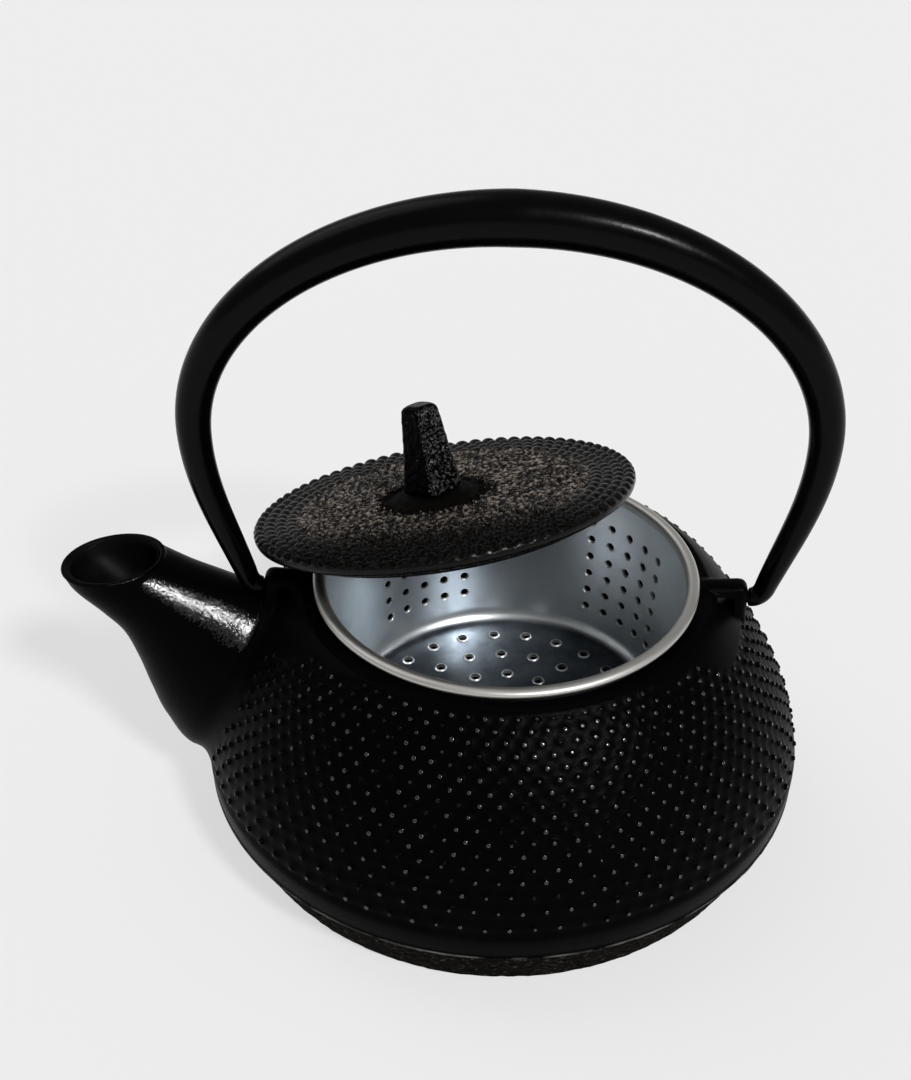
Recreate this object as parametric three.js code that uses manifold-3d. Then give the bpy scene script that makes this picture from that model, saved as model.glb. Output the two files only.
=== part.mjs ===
// Small cast iron teapot with a perforated steel infuser, a propped lid and a swinging bail.
// Millimetres, +Z up, origin on the base at the pot's axis, spout towards -X.
import * as THREE from 'three';
import { mergeVertices } from 'three/addons/utils/BufferGeometryUtils.js';
import Module from 'manifold-3d';

const wasm = await Module();
wasm.setup();

// Pot casting
const BASE_RADIUS = 53.8;
const PARTING_HEIGHT = 12.6;
const PARTING_INSET = 0.4;
const BELLY_RADIUS = 60;
const BELLY_HEIGHT = 17;
const BELLY_HANDLE = 9.6;
const NECK_BAND = 1.6;
const NECK_HEIGHT = 53;
const SHOULDER_HANDLE = 8;
const SHOULDER_SLOPE = 22.4;
const POT_WALL = 3.2;
const POT_FLOOR = 3.8;

// Hobnails on the pot's side, in rows by their distance along the side past the belly's widest ring: the
// first rows stand wide apart and the others at an even pitch. Each nub stands between two of the next row
const NUBS_AROUND = 86;
const NUB_HEIGHT = 0.7;
const NUB_FIRST_ROW = 3.06;
const NUB_ROW_PITCH = 2.15;
const NUB_ROW_SPREAD = 3.6;
const NUB_ROW_SETTLE = 2.2;
const NUB_NECK_MARGIN = 1;
const NUB_FADE = 2.6;
const NUB_EAR_DIP = 8.9;
const NUB_EAR_ANGLES = [38, 68];
const NUB_SPOUT_MARGIN = 1.5;
const NUB_SPOUT_FADE_SHARE = 0.15;

// Spout, each station a ring between an outer and an inner edge point in the plane of symmetry:
// how far each point reaches past the belly, how far it drops below the neck, and the ring's half width
const SPOUT_STATIONS = [
  { outer: [25.1, 0.3], inner: [5.1, -3.3], across: 9.2, wall: 1.2 },
  { outer: [23.2, 3.2], inner: [4.6, -2.7], across: 9.0, wall: 2.0 },
  { outer: [18.6, 7.6], inner: [2.2, -1.5], across: 8.8, wall: 2.8 },
  { outer: [14.8, 12.4], inner: [-0.8, 0.0], across: 9.2, wall: 3.2 },
  { outer: [12.6, 18.8], inner: [-4.6, 1.6], across: 10.2, wall: 3.4 },
  { outer: [11.0, 25.8], inner: [-9.2, 3.6], across: 11.4, wall: 3.4 },
  { outer: [8.8, 33.0], inner: [-14.4, 6.0], across: 13.0, wall: 3.4 },
  { outer: [4.0, 40.4], inner: [-20.0, 9.6], across: 14.4, wall: 3.4 },
  { outer: [-8.0, 42.0], inner: [-26.0, 17.0], across: 14.0, wall: 3.4 },
];
const SPOUT_BORE_OVERRUN = 2;

// Ears on the shoulder, one towards the spout and one opposite
const EAR_THICKNESS = 4.4;
const EAR_LENGTH = 8.8;
const EAR_RISE = 0.3;
const EAR_DROP = 11;
const EAR_CORNER = 2;
const EAR_LEG = 2.6;
const EAR_BAR = 1.9;
const EAR_WINDOW_HEIGHT = 4.4;
const EAR_RIM_GAP = 0.8;
const PIVOT_DEPTH = 3.4;

// Infuser basket, one pressed cup with a rolled rim
const RIM_RADIUS = 36.76;
const RIM_WIDTH = 2.4;
const RIM_THICKNESS = 1.8;
const CUP_WALL = 0.6;
const CUP_DEPTH = 36;
const CUP_TAPER = 1.6;
const CUP_COVE = 3.5;
const CUP_CLEARANCE = 0.6;
const SEAT_GAP = 0.3;
const WALL_HOLE_RADIUS = 0.7;
const WALL_HOLE_ROWS = 6;
const WALL_HOLE_COLUMNS = 5;
const WALL_HOLE_ROW_PITCH = 4.2;
const WALL_HOLE_COLUMN_ANGLE = 8;
const WALL_HOLE_FIRST_ROW = 7.8;
const WALL_HOLE_PATCHES = [47.6, -32, 137.6, -122];
const FLOOR_HOLE_RADIUS = 0.85;
const FLOOR_RING_PITCH = 6.7;
const FLOOR_RINGS = 4;
const FLOOR_RING_STEP = 6;
const FLOOR_RING_TURNS = [0, 12, 27, 12.2, 5.3];

// Lid, tipped over the back of the pot
const LID_RADIUS = 37;
const LID_THICKNESS = 2.8;
const LID_EDGE = 1;
const SPIGOT_RADIUS = 33;
const SPIGOT_DEPTH = 1.6;
const SPIGOT_WALL = 2.2;
const LID_BOSS_RADIUS = 6.6;
const LID_BOSS_RISE = 0.6;
const LID_TILT = 18;
const LID_HEADING = 123.4;
const LID_SHIFT_LEFT = 12.6;
const LID_SHIFT_BACK = 11.2;

// Knob, its stem and the washer under the lid
const KNOB_BASE = 8.8;
const KNOB_TOP = 5.7;
const KNOB_HEIGHT = 16.8;
const KNOB_OFFSET = 1.7;
const KNOB_CORNER = 1.4;
const KNOB_CROWN = 0.9;
const KNOB_TURN = 48;
const STEM_RADIUS = 1.9;
const STEM_CLEARANCE = 0.3;
const WASHER_RADIUS = 4.6;
const WASHER_THICKNESS = 0.8;
const PEEN_RADIUS = 3;
const PEEN_HEIGHT = 1.4;

// Bail handle
const BAIL_HALF_SPAN = 56.4;
const BAIL_SHOULDER_RISE = 33;
const BAIL_CROWN_RISE = 74.5;
const BAIL_CROWN_RADIUS = 4.6;
const BAIL_FOOT_RADIUS = 1.75;
const BAIL_TAPER_POWER = 0.66;
const BAIL_ELBOW = 3.1;
const BAIL_LEG_LEAN = 10;
const PIN_RADIUS = 1.1;
const PIN_CLEARANCE = 0.3;
const PIN_REACH = 1.2;

// Fineness of the faces
const POT_COLUMNS = NUBS_AROUND * 2;
const CAVITY_SEGMENTS = 56;
const CUP_SEGMENTS = 48;
const LID_SEGMENTS = 56;
const RING_SIDES = 20;
const BAIL_SIDES = 12;
const BAIL_STEPS = 30;
const HOLE_SIDES = 5;
const CURVE_STEPS = 10;

// Shares that shape the small roundings
const WELD = 1e-4;
const ROLL_START = -0.6 * Math.PI;
const PEEN_FLAT_SHARE = 0.7;
const PIN_CHAMFER_SHARE = 0.3;
const TANGENT_STEP = 0.002;
const LEG_BOW = 1.6;

// Worked out from the sizes above
const NECK_RADIUS = RIM_RADIUS + NECK_BAND;
const CUP_RADIUS = RIM_RADIUS - RIM_WIDTH;
const NECK_BORE = CUP_RADIUS + CUP_WALL + CUP_CLEARANCE;
const RIM_CENTRE_RADIUS = RIM_RADIUS - RIM_WIDTH / 2;
const RIM_CENTRE_HEIGHT = NECK_HEIGHT + SEAT_GAP + RIM_THICKNESS / 2;
const CUP_FLOOR_HEIGHT = RIM_CENTRE_HEIGHT - CUP_DEPTH;
const CUP_FLOOR_RADIUS = CUP_RADIUS - CUP_TAPER;
const EAR_TOP = NECK_HEIGHT + EAR_RISE;
const EAR_INNER = RIM_RADIUS + EAR_RIM_GAP;
const EAR_OUTER = EAR_INNER + EAR_LENGTH;
const PIVOT_HEIGHT = EAR_TOP - PIVOT_DEPTH;
const PIN_HOLE_RADIUS = PIN_RADIUS + PIN_CLEARANCE;

const radians = THREE.MathUtils.degToRad;

// A closed geometry becomes a solid; faces with two equal corners are left out
function toSolid(geometry) {
  const bare = new THREE.BufferGeometry();
  bare.setAttribute('position', geometry.attributes.position.clone());
  if (geometry.index) bare.setIndex(geometry.index.clone());
  const merged = mergeVertices(bare, WELD);
  const corners = merged.index.array;
  const faces = [];
  for (let i = 0; i < corners.length; i += 3) {
    const [a, b, c] = [corners[i], corners[i + 1], corners[i + 2]];
    if (a !== b && b !== c && c !== a) faces.push(a, b, c);
  }
  return new wasm.Manifold(new wasm.Mesh({
    numProp: 3,
    vertProperties: new Float32Array(merged.attributes.position.array),
    triVerts: new Uint32Array(faces),
  }));
}

// A solid becomes a geometry again
function toGeometry(solid) {
  const { vertProperties, triVerts } = solid.getMesh();
  const geometry = new THREE.BufferGeometry();
  geometry.setAttribute('position', new THREE.BufferAttribute(new Float32Array(vertProperties), 3));
  geometry.setIndex(new THREE.BufferAttribute(new Uint32Array(triVerts), 1));
  return geometry;
}

// Turns an outline of radius and height pairs about the Z axis
function turn(outline, segments) {
  const points = outline.map(([radius, height]) => new THREE.Vector2(radius, height));
  return new THREE.LatheGeometry(points, segments).rotateX(Math.PI / 2);
}

// Skins a row of rings that all have the same number of points, and caps both ends. A four-sided face is
// split from its first corner, or from its second where the test says so
function loft(rings, splitFromSecond = () => false) {
  const sides = rings[0].length;
  const positions = rings.flat().flatMap((point) => [point.x, point.y, point.z]);
  const faces = [];
  for (let ring = 0; ring < rings.length - 1; ring++) {
    for (let side = 0; side < sides; side++) {
      const here = ring * sides + side;
      const beside = ring * sides + (side + 1) % sides;
      if (splitFromSecond(ring, side)) {
        faces.push(here, beside, here + sides, beside, beside + sides, here + sides);
      } else {
        faces.push(here, beside, beside + sides, here, beside + sides, here + sides);
      }
    }
  }
  const last = (rings.length - 1) * sides;
  for (let side = 1; side < sides - 1; side++) {
    faces.push(0, side + 1, side);
    faces.push(last, last + side, last + side + 1);
  }
  const geometry = new THREE.BufferGeometry();
  geometry.setAttribute('position', new THREE.Float32BufferAttribute(positions, 3));
  geometry.setIndex(faces);
  return geometry;
}

// An oval ring about a centre, with one half axis along a direction in the XZ plane and one along Y
function ovalRing(centre, along, halfAlong, halfAcross, sides) {
  return Array.from({ length: sides }, (_, side) => {
    const angle = (side / sides) * 2 * Math.PI;
    return centre.clone()
      .addScaledVector(along, halfAlong * Math.cos(angle))
      .add(new THREE.Vector3(0, halfAcross * Math.sin(angle), 0));
  });
}

// Points of a plane curve as radius and height pairs, without its last point
function sampled(curve, steps) {
  return curve.getPoints(steps).slice(0, -1).map((point) => [point.x, point.y]);
}

// The pot's side in three stretches: the foot band, the turn into the belly, and the shoulder
function potSide() {
  const edge = new THREE.Vector2(BASE_RADIUS, 0);
  const parting = new THREE.Vector2(BELLY_RADIUS - PARTING_INSET, PARTING_HEIGHT);
  const belly = new THREE.Vector2(BELLY_RADIUS, BELLY_HEIGHT);
  const neck = new THREE.Vector2(NECK_RADIUS, NECK_HEIGHT);
  const slope = radians(SHOULDER_SLOPE);
  const turning = new THREE.Vector2(BELLY_RADIUS, (PARTING_HEIGHT + BELLY_HEIGHT) / 2);
  const rising = new THREE.Vector2(BELLY_RADIUS, BELLY_HEIGHT + BELLY_HANDLE);
  const levelling = new THREE.Vector2(
    NECK_RADIUS + SHOULDER_HANDLE * Math.cos(slope), NECK_HEIGHT - SHOULDER_HANDLE * Math.sin(slope),
  );
  return [
    { curve: new THREE.LineCurve(edge, parting), steps: 1 },
    { curve: new THREE.QuadraticBezierCurve(parting, turning, belly), steps: 2 },
    { curve: new THREE.CubicBezierCurve(belly, rising, levelling, neck), steps: CURVE_STEPS },
  ];
}

// Distances of the nub rows along the side, from the belly's widest ring to the plain band by the neck
function nubRows(belly, end) {
  const rows = [];
  let distance = belly + NUB_FIRST_ROW;
  while (distance < end) {
    rows.push(distance);
    const settled = 1 - Math.exp(-rows.length / NUB_ROW_SETTLE);
    distance = belly + NUB_FIRST_ROW + rows.length * NUB_ROW_PITCH + NUB_ROW_SPREAD * settled;
  }
  return rows;
}

// Share of their full height that the nubs have at a place on the side: they fade out by the neck, the ears
// and the spout's root, which is the last station outside the pot
function nubShare(distance, end, place) {
  const { outer, inner, across } = SPOUT_STATIONS[SPOUT_STATIONS.length - 2];
  const { smoothstep, radToDeg } = THREE.MathUtils;
  const fromFront = radToDeg(Math.atan2(Math.abs(place.x), Math.abs(place.y)));
  const top = end - NUB_EAR_DIP * smoothstep(fromFront, ...NUB_EAR_ANGLES);
  const rootMiddle = NECK_HEIGHT - (outer[1] + inner[1]) / 2;
  const fromRoot = Math.hypot(
    place.y / (across + NUB_SPOUT_MARGIN),
    (place.z - rootMiddle) / ((outer[1] - inner[1]) / 2 + NUB_SPOUT_MARGIN),
  );
  const besideSpout = place.x > 0 ? 1 : smoothstep(fromRoot, 1, 1 + NUB_SPOUT_FADE_SHARE);
  return besideSpout * (1 - smoothstep(distance, top - NUB_FADE, top));
}

// The pot's outside: rings of points up the side, with every second point of a nub row sunk between nubs
function potOuter() {
  const stretches = potSide().map(({ curve }) => curve);
  const path = new THREE.CurvePath();
  stretches.forEach((curve) => path.add(curve));
  const [band, turning] = stretches.map((curve) => curve.getLength());
  const smooth = [0, band, band + turning / 2, band + turning];
  const nubEnd = path.getLength() - NUB_NECK_MARGIN;
  const distances = [...smooth, ...nubRows(band + turning, nubEnd), path.getLength()];
  const isNub = (ring, column) => (ring + column) % 2 === 1;
  const rings = distances.map((distance, ring) => {
    const share = distance / path.getLength();
    const { x: radius, y: height } = path.getPoint(share);
    const tangent = path.getTangent(share);
    const hasNubs = ring >= smooth.length && ring < distances.length - 1;
    return Array.from({ length: POT_COLUMNS }, (_, column) => {
      const angle = (column / POT_COLUMNS) * 2 * Math.PI;
      const around = new THREE.Vector3(Math.sin(angle), -Math.cos(angle), 0);
      const place = around.clone().multiplyScalar(radius).setZ(height);
      if (!hasNubs || isNub(ring, column)) return place;
      const sunk = NUB_HEIGHT * nubShare(distance, nubEnd, place);
      return place.addScaledVector(around, -tangent.y * sunk).setZ(height + tangent.x * sunk);
    });
  });
  return toSolid(loft(rings, isNub));
}

// Points of a stretch moved square to it, towards the pot's inside
function movedInwards({ curve, steps }, distance) {
  return Array.from({ length: steps + 1 }, (_, step) => {
    const point = curve.getPoint(step / steps);
    const tangent = curve.getTangent(step / steps);
    return [point.x - tangent.y * distance, point.y + tangent.x * distance];
  });
}

// The space inside the pot, open upwards through the neck bore
function potCavity() {
  const [band, turning, shoulder] = potSide();
  const bandTop = movedInwards(band, POT_WALL)[1];
  const bandSlope = (BELLY_RADIUS - PARTING_INSET - BASE_RADIUS) / PARTING_HEIGHT;
  const corner = [bandTop[0] - bandSlope * (bandTop[1] - POT_FLOOR), POT_FLOOR];
  const side = [...movedInwards(turning, POT_WALL), ...movedInwards(shoulder, POT_WALL).slice(1)]
    .filter(([radius, height]) => radius > NECK_BORE && height < NECK_HEIGHT - POT_WALL);
  const outline = [
    [0, POT_FLOOR],
    corner,
    ...side,
    [NECK_BORE, side[side.length - 1][1] + 1],
    [NECK_BORE, NECK_HEIGHT + 1],
    [0, NECK_HEIGHT + 1],
  ];
  return toSolid(turn(outline, CAVITY_SEGMENTS));
}

// Rings of the spout, drawn in by a share of each station's wall; the root lies inside the pot
function spoutRings(wallShare) {
  return SPOUT_STATIONS.map(({ outer, inner, across, wall }) => {
    const low = new THREE.Vector3(-(BELLY_RADIUS + outer[0]), 0, NECK_HEIGHT - outer[1]);
    const high = new THREE.Vector3(-(BELLY_RADIUS + inner[0]), 0, NECK_HEIGHT - inner[1]);
    const centre = low.clone().lerp(high, 0.5);
    const half = low.distanceTo(high) / 2 - wall * wallShare;
    return { centre, along: high.clone().sub(low).normalize(), half, across: across - wall * wallShare };
  });
}

function spoutSolid() {
  const rings = spoutRings(0).map((ring) => (
    ovalRing(ring.centre, ring.along, ring.half, ring.across, RING_SIDES)
  ));
  return toSolid(loft(rings.reverse()));
}

function spoutBore() {
  const rings = spoutRings(1);
  const [mouth] = rings;
  const lead = new THREE.Vector3(-mouth.along.z, 0, mouth.along.x);
  rings.unshift({ ...mouth, centre: mouth.centre.clone().addScaledVector(lead, SPOUT_BORE_OVERRUN) });
  const loops = rings.map((ring) => (
    ovalRing(ring.centre, ring.along, ring.half, ring.across, RING_SIDES)
  ));
  return toSolid(loft(loops.reverse()));
}

// A flat outline in the XZ plane given some thickness along Y
function finSolid(shape, thickness) {
  const geometry = new THREE.ExtrudeGeometry(shape, {
    depth: thickness, bevelEnabled: false, curveSegments: 4,
  });
  return toSolid(geometry.rotateX(Math.PI / 2).translate(0, thickness / 2, 0));
}

function earFin() {
  const shape = new THREE.Shape();
  const low = EAR_TOP - EAR_DROP;
  shape.moveTo(EAR_INNER, EAR_TOP);
  shape.lineTo(EAR_INNER, NECK_HEIGHT - POT_WALL / 2);
  shape.lineTo(EAR_OUTER - EAR_LEG, low);
  shape.lineTo(EAR_OUTER, low);
  shape.lineTo(EAR_OUTER, EAR_TOP - EAR_CORNER);
  shape.absarc(EAR_OUTER - EAR_CORNER, EAR_TOP - EAR_CORNER, EAR_CORNER, 0, Math.PI / 2, false);
  return finSolid(shape, EAR_THICKNESS);
}

// The opening under the ear's bar, cut a little into the shoulder
function earWindow() {
  const shape = new THREE.Shape();
  const right = EAR_OUTER - EAR_LEG;
  const top = EAR_TOP - EAR_BAR;
  const left = right - EAR_WINDOW_HEIGHT;
  shape.moveTo(left, top);
  shape.lineTo(right, top - EAR_WINDOW_HEIGHT);
  shape.lineTo(right, top);
  return finSolid(shape, EAR_THICKNESS + POT_WALL);
}

function pinHole() {
  const length = EAR_LEG + EAR_WINDOW_HEIGHT / 2;
  const hole = new THREE.CylinderGeometry(PIN_HOLE_RADIUS, PIN_HOLE_RADIUS, length, BAIL_SIDES);
  hole.rotateZ(Math.PI / 2);
  hole.translate(EAR_OUTER + length / 2 - EAR_LEG - PIN_CLEARANCE, 0, PIVOT_HEIGHT);
  return toSolid(hole);
}

function potCasting() {
  const half = (solid) => solid.add(solid.rotate([0, 0, 180]));
  return toGeometry(
    potOuter()
      .add(spoutSolid())
      .add(half(earFin()))
      .subtract(potCavity())
      .subtract(spoutBore())
      .subtract(half(earWindow()))
      .subtract(half(pinHole())),
  );
}

// One closed section of the pressed cup: inner wall, rolled rim and outer wall
function cupSection() {
  const wallTop = RIM_CENTRE_HEIGHT;
  const coveHeight = CUP_FLOOR_HEIGHT + CUP_COVE;
  const cove = (radius, below) => new THREE.EllipseCurve(
    CUP_FLOOR_RADIUS - CUP_COVE, coveHeight, radius, CUP_COVE + below, -Math.PI / 2, 0,
  );
  const roll = new THREE.EllipseCurve(
    RIM_CENTRE_RADIUS, RIM_CENTRE_HEIGHT, RIM_WIDTH / 2, RIM_THICKNESS / 2, ROLL_START, Math.PI,
  );
  const outside = CUP_FLOOR_RADIUS + CUP_WALL;
  return [
    [0, CUP_FLOOR_HEIGHT - CUP_WALL],
    ...sampled(cove(CUP_COVE + CUP_WALL, CUP_WALL), 4),
    [outside, coveHeight],
    [CUP_RADIUS + CUP_WALL, wallTop - RIM_THICKNESS / 2],
    ...sampled(roll, CURVE_STEPS),
    [CUP_RADIUS, wallTop],
    [CUP_FLOOR_RADIUS, coveHeight],
    ...sampled(cove(CUP_COVE, 0), 4).reverse(),
    [0, CUP_FLOOR_HEIGHT],
  ];
}

function punch(radius, length) {
  return new THREE.CylinderGeometry(radius, radius, length, HOLE_SIDES);
}

// Straight punches through the cup's wall, in patches of columns
function wallPunches() {
  const length = (CUP_WALL * 2 + CUP_TAPER + CUP_CLEARANCE) * 2;
  const middle = (WALL_HOLE_COLUMNS - 1) / 2;
  const firstRow = CUP_FLOOR_HEIGHT + WALL_HOLE_FIRST_ROW;
  const punches = [];
  for (const patch of WALL_HOLE_PATCHES) {
    for (let column = 0; column < WALL_HOLE_COLUMNS; column++) {
      const angle = radians(90 - patch - (column - middle) * WALL_HOLE_COLUMN_ANGLE);
      for (let row = 0; row < WALL_HOLE_ROWS; row++) {
        const tool = punch(WALL_HOLE_RADIUS, length).rotateZ(Math.PI / 2);
        tool.translate(CUP_RADIUS, 0, firstRow + row * WALL_HOLE_ROW_PITCH);
        punches.push(toSolid(tool.rotateZ(angle)));
      }
    }
  }
  return wasm.Manifold.union(punches);
}

// Punches through the cup's floor: one at the centre and rings around it
function floorPunches() {
  const punches = [];
  for (let ring = 0; ring <= FLOOR_RINGS; ring++) {
    const count = Math.max(1, ring * FLOOR_RING_STEP);
    const start = radians(FLOOR_RING_TURNS[ring % FLOOR_RING_TURNS.length]);
    for (let copy = 0; copy < count; copy++) {
      const tool = punch(FLOOR_HOLE_RADIUS, CUP_WALL * 4).rotateX(Math.PI / 2);
      tool.translate(ring * FLOOR_RING_PITCH, 0, CUP_FLOOR_HEIGHT - CUP_WALL / 2);
      punches.push(toSolid(tool.rotateZ((copy / count) * 2 * Math.PI + start)));
    }
  }
  return wasm.Manifold.union(punches);
}

function infuserBasket() {
  const cup = toSolid(turn(cupSection(), CUP_SEGMENTS));
  return toGeometry(cup.subtract(wallPunches()).subtract(floorPunches()));
}

// Lid disc about its own axis, its flat top at height 0
function lidCasting() {
  const hole = STEM_RADIUS + STEM_CLEARANCE;
  const underside = -LID_THICKNESS;
  const outline = [
    [0, underside],
    [SPIGOT_RADIUS - SPIGOT_WALL, underside],
    [SPIGOT_RADIUS - SPIGOT_WALL, underside - SPIGOT_DEPTH],
    [SPIGOT_RADIUS, underside - SPIGOT_DEPTH],
    [SPIGOT_RADIUS, underside],
    [LID_RADIUS - LID_EDGE, underside],
    [LID_RADIUS, underside + LID_EDGE],
    [LID_RADIUS, -LID_EDGE],
    [LID_RADIUS - LID_EDGE, 0],
    [0, 0],
  ];
  const boss = [
    [0, underside / 2],
    [LID_BOSS_RADIUS + LID_BOSS_RISE * 2, underside / 2],
    [LID_BOSS_RADIUS + LID_BOSS_RISE * 2, 0],
    [LID_BOSS_RADIUS, LID_BOSS_RISE],
    [0, LID_BOSS_RISE],
  ];
  const stemHole = new THREE.CylinderGeometry(hole, hole, LID_THICKNESS * 4, RING_SIDES);
  return toGeometry(
    toSolid(turn(outline, LID_SEGMENTS))
      .add(toSolid(turn(boss, RING_SIDES)).translate([-KNOB_OFFSET, 0, 0]))
      .subtract(toSolid(stemHole.rotateX(Math.PI / 2).translate(-KNOB_OFFSET, 0, 0))),
  );
}

// A square ring with cut corners
function squareRing(side, height) {
  const half = side / 2;
  const cut = half - KNOB_CORNER;
  return [
    [half, -cut], [half, cut], [cut, half], [-cut, half],
    [-half, cut], [-half, -cut], [-cut, -half], [cut, -half],
  ].map(([x, y]) => new THREE.Vector3(x, y, height));
}

// Knob with its stem through the lid and the peened head under the washer
function lidKnob() {
  const foot = LID_BOSS_RISE + SEAT_GAP;
  const washerLow = -LID_THICKNESS - SEAT_GAP - WASHER_THICKNESS;
  const headTop = washerLow - SEAT_GAP;
  const bud = toSolid(loft([
    squareRing(KNOB_BASE, foot),
    squareRing(KNOB_BASE, foot + KNOB_CORNER),
    squareRing(KNOB_TOP, foot + KNOB_HEIGHT - KNOB_CROWN),
    squareRing(KNOB_TOP - KNOB_CROWN, foot + KNOB_HEIGHT - KNOB_CROWN / 4),
    squareRing(KNOB_TOP - KNOB_CROWN * 2, foot + KNOB_HEIGHT),
  ]));
  const stem = toSolid(turn([
    [0, headTop - PEEN_HEIGHT],
    [PEEN_RADIUS * PEEN_FLAT_SHARE, headTop - PEEN_HEIGHT],
    [PEEN_RADIUS, headTop - PEEN_HEIGHT / 2],
    [PEEN_RADIUS, headTop],
    [STEM_RADIUS, headTop],
    [STEM_RADIUS, foot + KNOB_CORNER],
    [0, foot + KNOB_CORNER],
  ], RING_SIDES));
  return toGeometry(bud.rotate([0, 0, KNOB_TURN]).add(stem).translate([-KNOB_OFFSET, 0, 0]));
}

function knobWasher() {
  const bore = STEM_RADIUS + STEM_CLEARANCE;
  const top = -LID_THICKNESS - SEAT_GAP;
  return toGeometry(toSolid(turn([
    [bore, top - WASHER_THICKNESS],
    [WASHER_RADIUS, top - WASHER_THICKNESS],
    [WASHER_RADIUS, top],
    [bore, top],
    [bore, top - WASHER_THICKNESS],
  ], RING_SIDES)).translate([-KNOB_OFFSET, 0, 0]));
}

// Centre line of the bail's right half, from the ear's face to the crown, about the pivot height
function bailHalfCurve() {
  const path = new THREE.CurvePath();
  const face = EAR_OUTER + PIN_CLEARANCE;
  const lean = radians(BAIL_LEG_LEAN);
  const ankle = new THREE.Vector2(face + BAIL_ELBOW, BAIL_ELBOW);
  const ellipseRise = BAIL_CROWN_RISE - BAIL_SHOULDER_RISE;
  path.add(new THREE.QuadraticBezierCurve(
    new THREE.Vector2(face, 0), new THREE.Vector2(ankle.x - BAIL_ELBOW * Math.tan(lean), 0), ankle,
  ));
  const third = BAIL_SHOULDER_RISE / 3;
  path.add(new THREE.CubicBezierCurve(
    ankle,
    new THREE.Vector2(ankle.x + third * Math.tan(lean * LEG_BOW), ankle.y + third),
    new THREE.Vector2(BAIL_HALF_SPAN, BAIL_SHOULDER_RISE - third),
    new THREE.Vector2(BAIL_HALF_SPAN, BAIL_SHOULDER_RISE),
  ));
  path.add(new THREE.EllipseCurve(
    0, BAIL_SHOULDER_RISE, BAIL_HALF_SPAN, ellipseRise, 0, Math.PI / 2,
  ));
  return path;
}

// Rings of the bail's right half: the pin, its shoulder, then the tapering leg and arch
function bailHalfRings() {
  const curve = bailHalfCurve();
  const across = new THREE.Vector3(0, 1, 0);
  const ring = (x, z, tangent, radius) => {
    const along = across.clone().cross(new THREE.Vector3(tangent.x, 0, tangent.y)).normalize();
    const centre = new THREE.Vector3(x, 0, PIVOT_HEIGHT + z);
    return ovalRing(centre, along, radius, radius, BAIL_SIDES);
  };
  const outwards = new THREE.Vector2(1, 0);
  const tip = EAR_OUTER - EAR_LEG - PIN_REACH;
  const face = EAR_OUTER + PIN_CLEARANCE;
  const rings = [
    ring(tip, 0, outwards, PIN_RADIUS * (1 - PIN_CHAMFER_SHARE)),
    ring(tip + PIN_RADIUS * PIN_CHAMFER_SHARE, 0, outwards, PIN_RADIUS),
    ring(face, 0, outwards, PIN_RADIUS),
  ];
  for (let step = 0; step <= BAIL_STEPS; step++) {
    const share = step / BAIL_STEPS;
    const point = curve.getPointAt(share);
    const before = curve.getPointAt(Math.max(0, share - TANGENT_STEP));
    const after = curve.getPointAt(Math.min(1, share + TANGENT_STEP));
    const growth = (BAIL_CROWN_RADIUS - BAIL_FOOT_RADIUS) * share ** BAIL_TAPER_POWER;
    const direction = step === 0 ? outwards : after.sub(before);
    rings.push(ring(point.x, point.y, direction, BAIL_FOOT_RADIUS + growth));
  }
  return rings;
}

// The whole bail: the right half's rings, then the same rings mirrored
function bailHandle() {
  const right = bailHalfRings();
  const left = right.slice(0, -1).reverse().map((ring) => (
    ring.map((point) => new THREE.Vector3(-point.x, point.y, point.z))
  ));
  return toGeometry(toSolid(loft([...right, ...left])));
}

function iron(colour, roughness) {
  return new THREE.MeshStandardMaterial({ color: colour, roughness, metalness: 0.5 });
}

function piece(name, geometry, material) {
  geometry.computeVertexNormals();
  const mesh = new THREE.Mesh(geometry, material);
  mesh.name = name;
  return mesh;
}

// The lid's group: tipped towards its heading, its underside just clear of the rim there
function propLid() {
  const tilt = radians(LID_TILT);
  const heading = radians(LID_HEADING);
  const normal = new THREE.Vector3(
    Math.sin(tilt) * Math.cos(heading), Math.sin(tilt) * Math.sin(heading), Math.cos(tilt),
  );
  const rimReach = RIM_CENTRE_RADIUS * Math.sin(tilt) + RIM_CENTRE_HEIGHT * Math.cos(tilt)
    + Math.hypot(RIM_WIDTH / 2 * Math.sin(tilt), RIM_THICKNESS / 2 * Math.cos(tilt));
  const level = rimReach + SEAT_GAP + LID_THICKNESS;
  const slack = level + normal.x * LID_SHIFT_LEFT - normal.y * LID_SHIFT_BACK;
  const group = new THREE.Group();
  group.position.set(-LID_SHIFT_LEFT, LID_SHIFT_BACK, slack / normal.z);
  group.quaternion.setFromUnitVectors(new THREE.Vector3(0, 0, 1), normal);
  return group;
}

const teapot = new THREE.Group();
teapot.add(piece('pot_casting', potCasting(), iron(0x16161a, 0.62)));
teapot.add(piece('infuser_basket', infuserBasket(), new THREE.MeshStandardMaterial({
  color: 0xb9bec2, roughness: 0.34, metalness: 1,
})));
const lid = propLid();
lid.add(piece('lid_casting', lidCasting(), iron(0x231e1a, 0.66)));
lid.add(piece('lid_knob', lidKnob(), iron(0x17171a, 0.5)));
lid.add(piece('knob_washer', knobWasher(), new THREE.MeshStandardMaterial({
  color: 0x8a8d90, roughness: 0.45, metalness: 1,
})));
teapot.add(lid);
teapot.add(piece('bail_handle', bailHandle(), iron(0x0f0f11, 0.4)));

export default teapot;
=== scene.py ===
# Looks of a small hobnailed cast iron teapot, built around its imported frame.
# Sizes are millimetres until a mesh is made; the frame is in metres, +Z up, the spout towards -X.
import math

import bmesh
import bpy
import numpy as np
from mathutils import Matrix, Vector, noise
from mathutils.bvhtree import BVHTree
from mathutils.kdtree import KDTree


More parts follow.
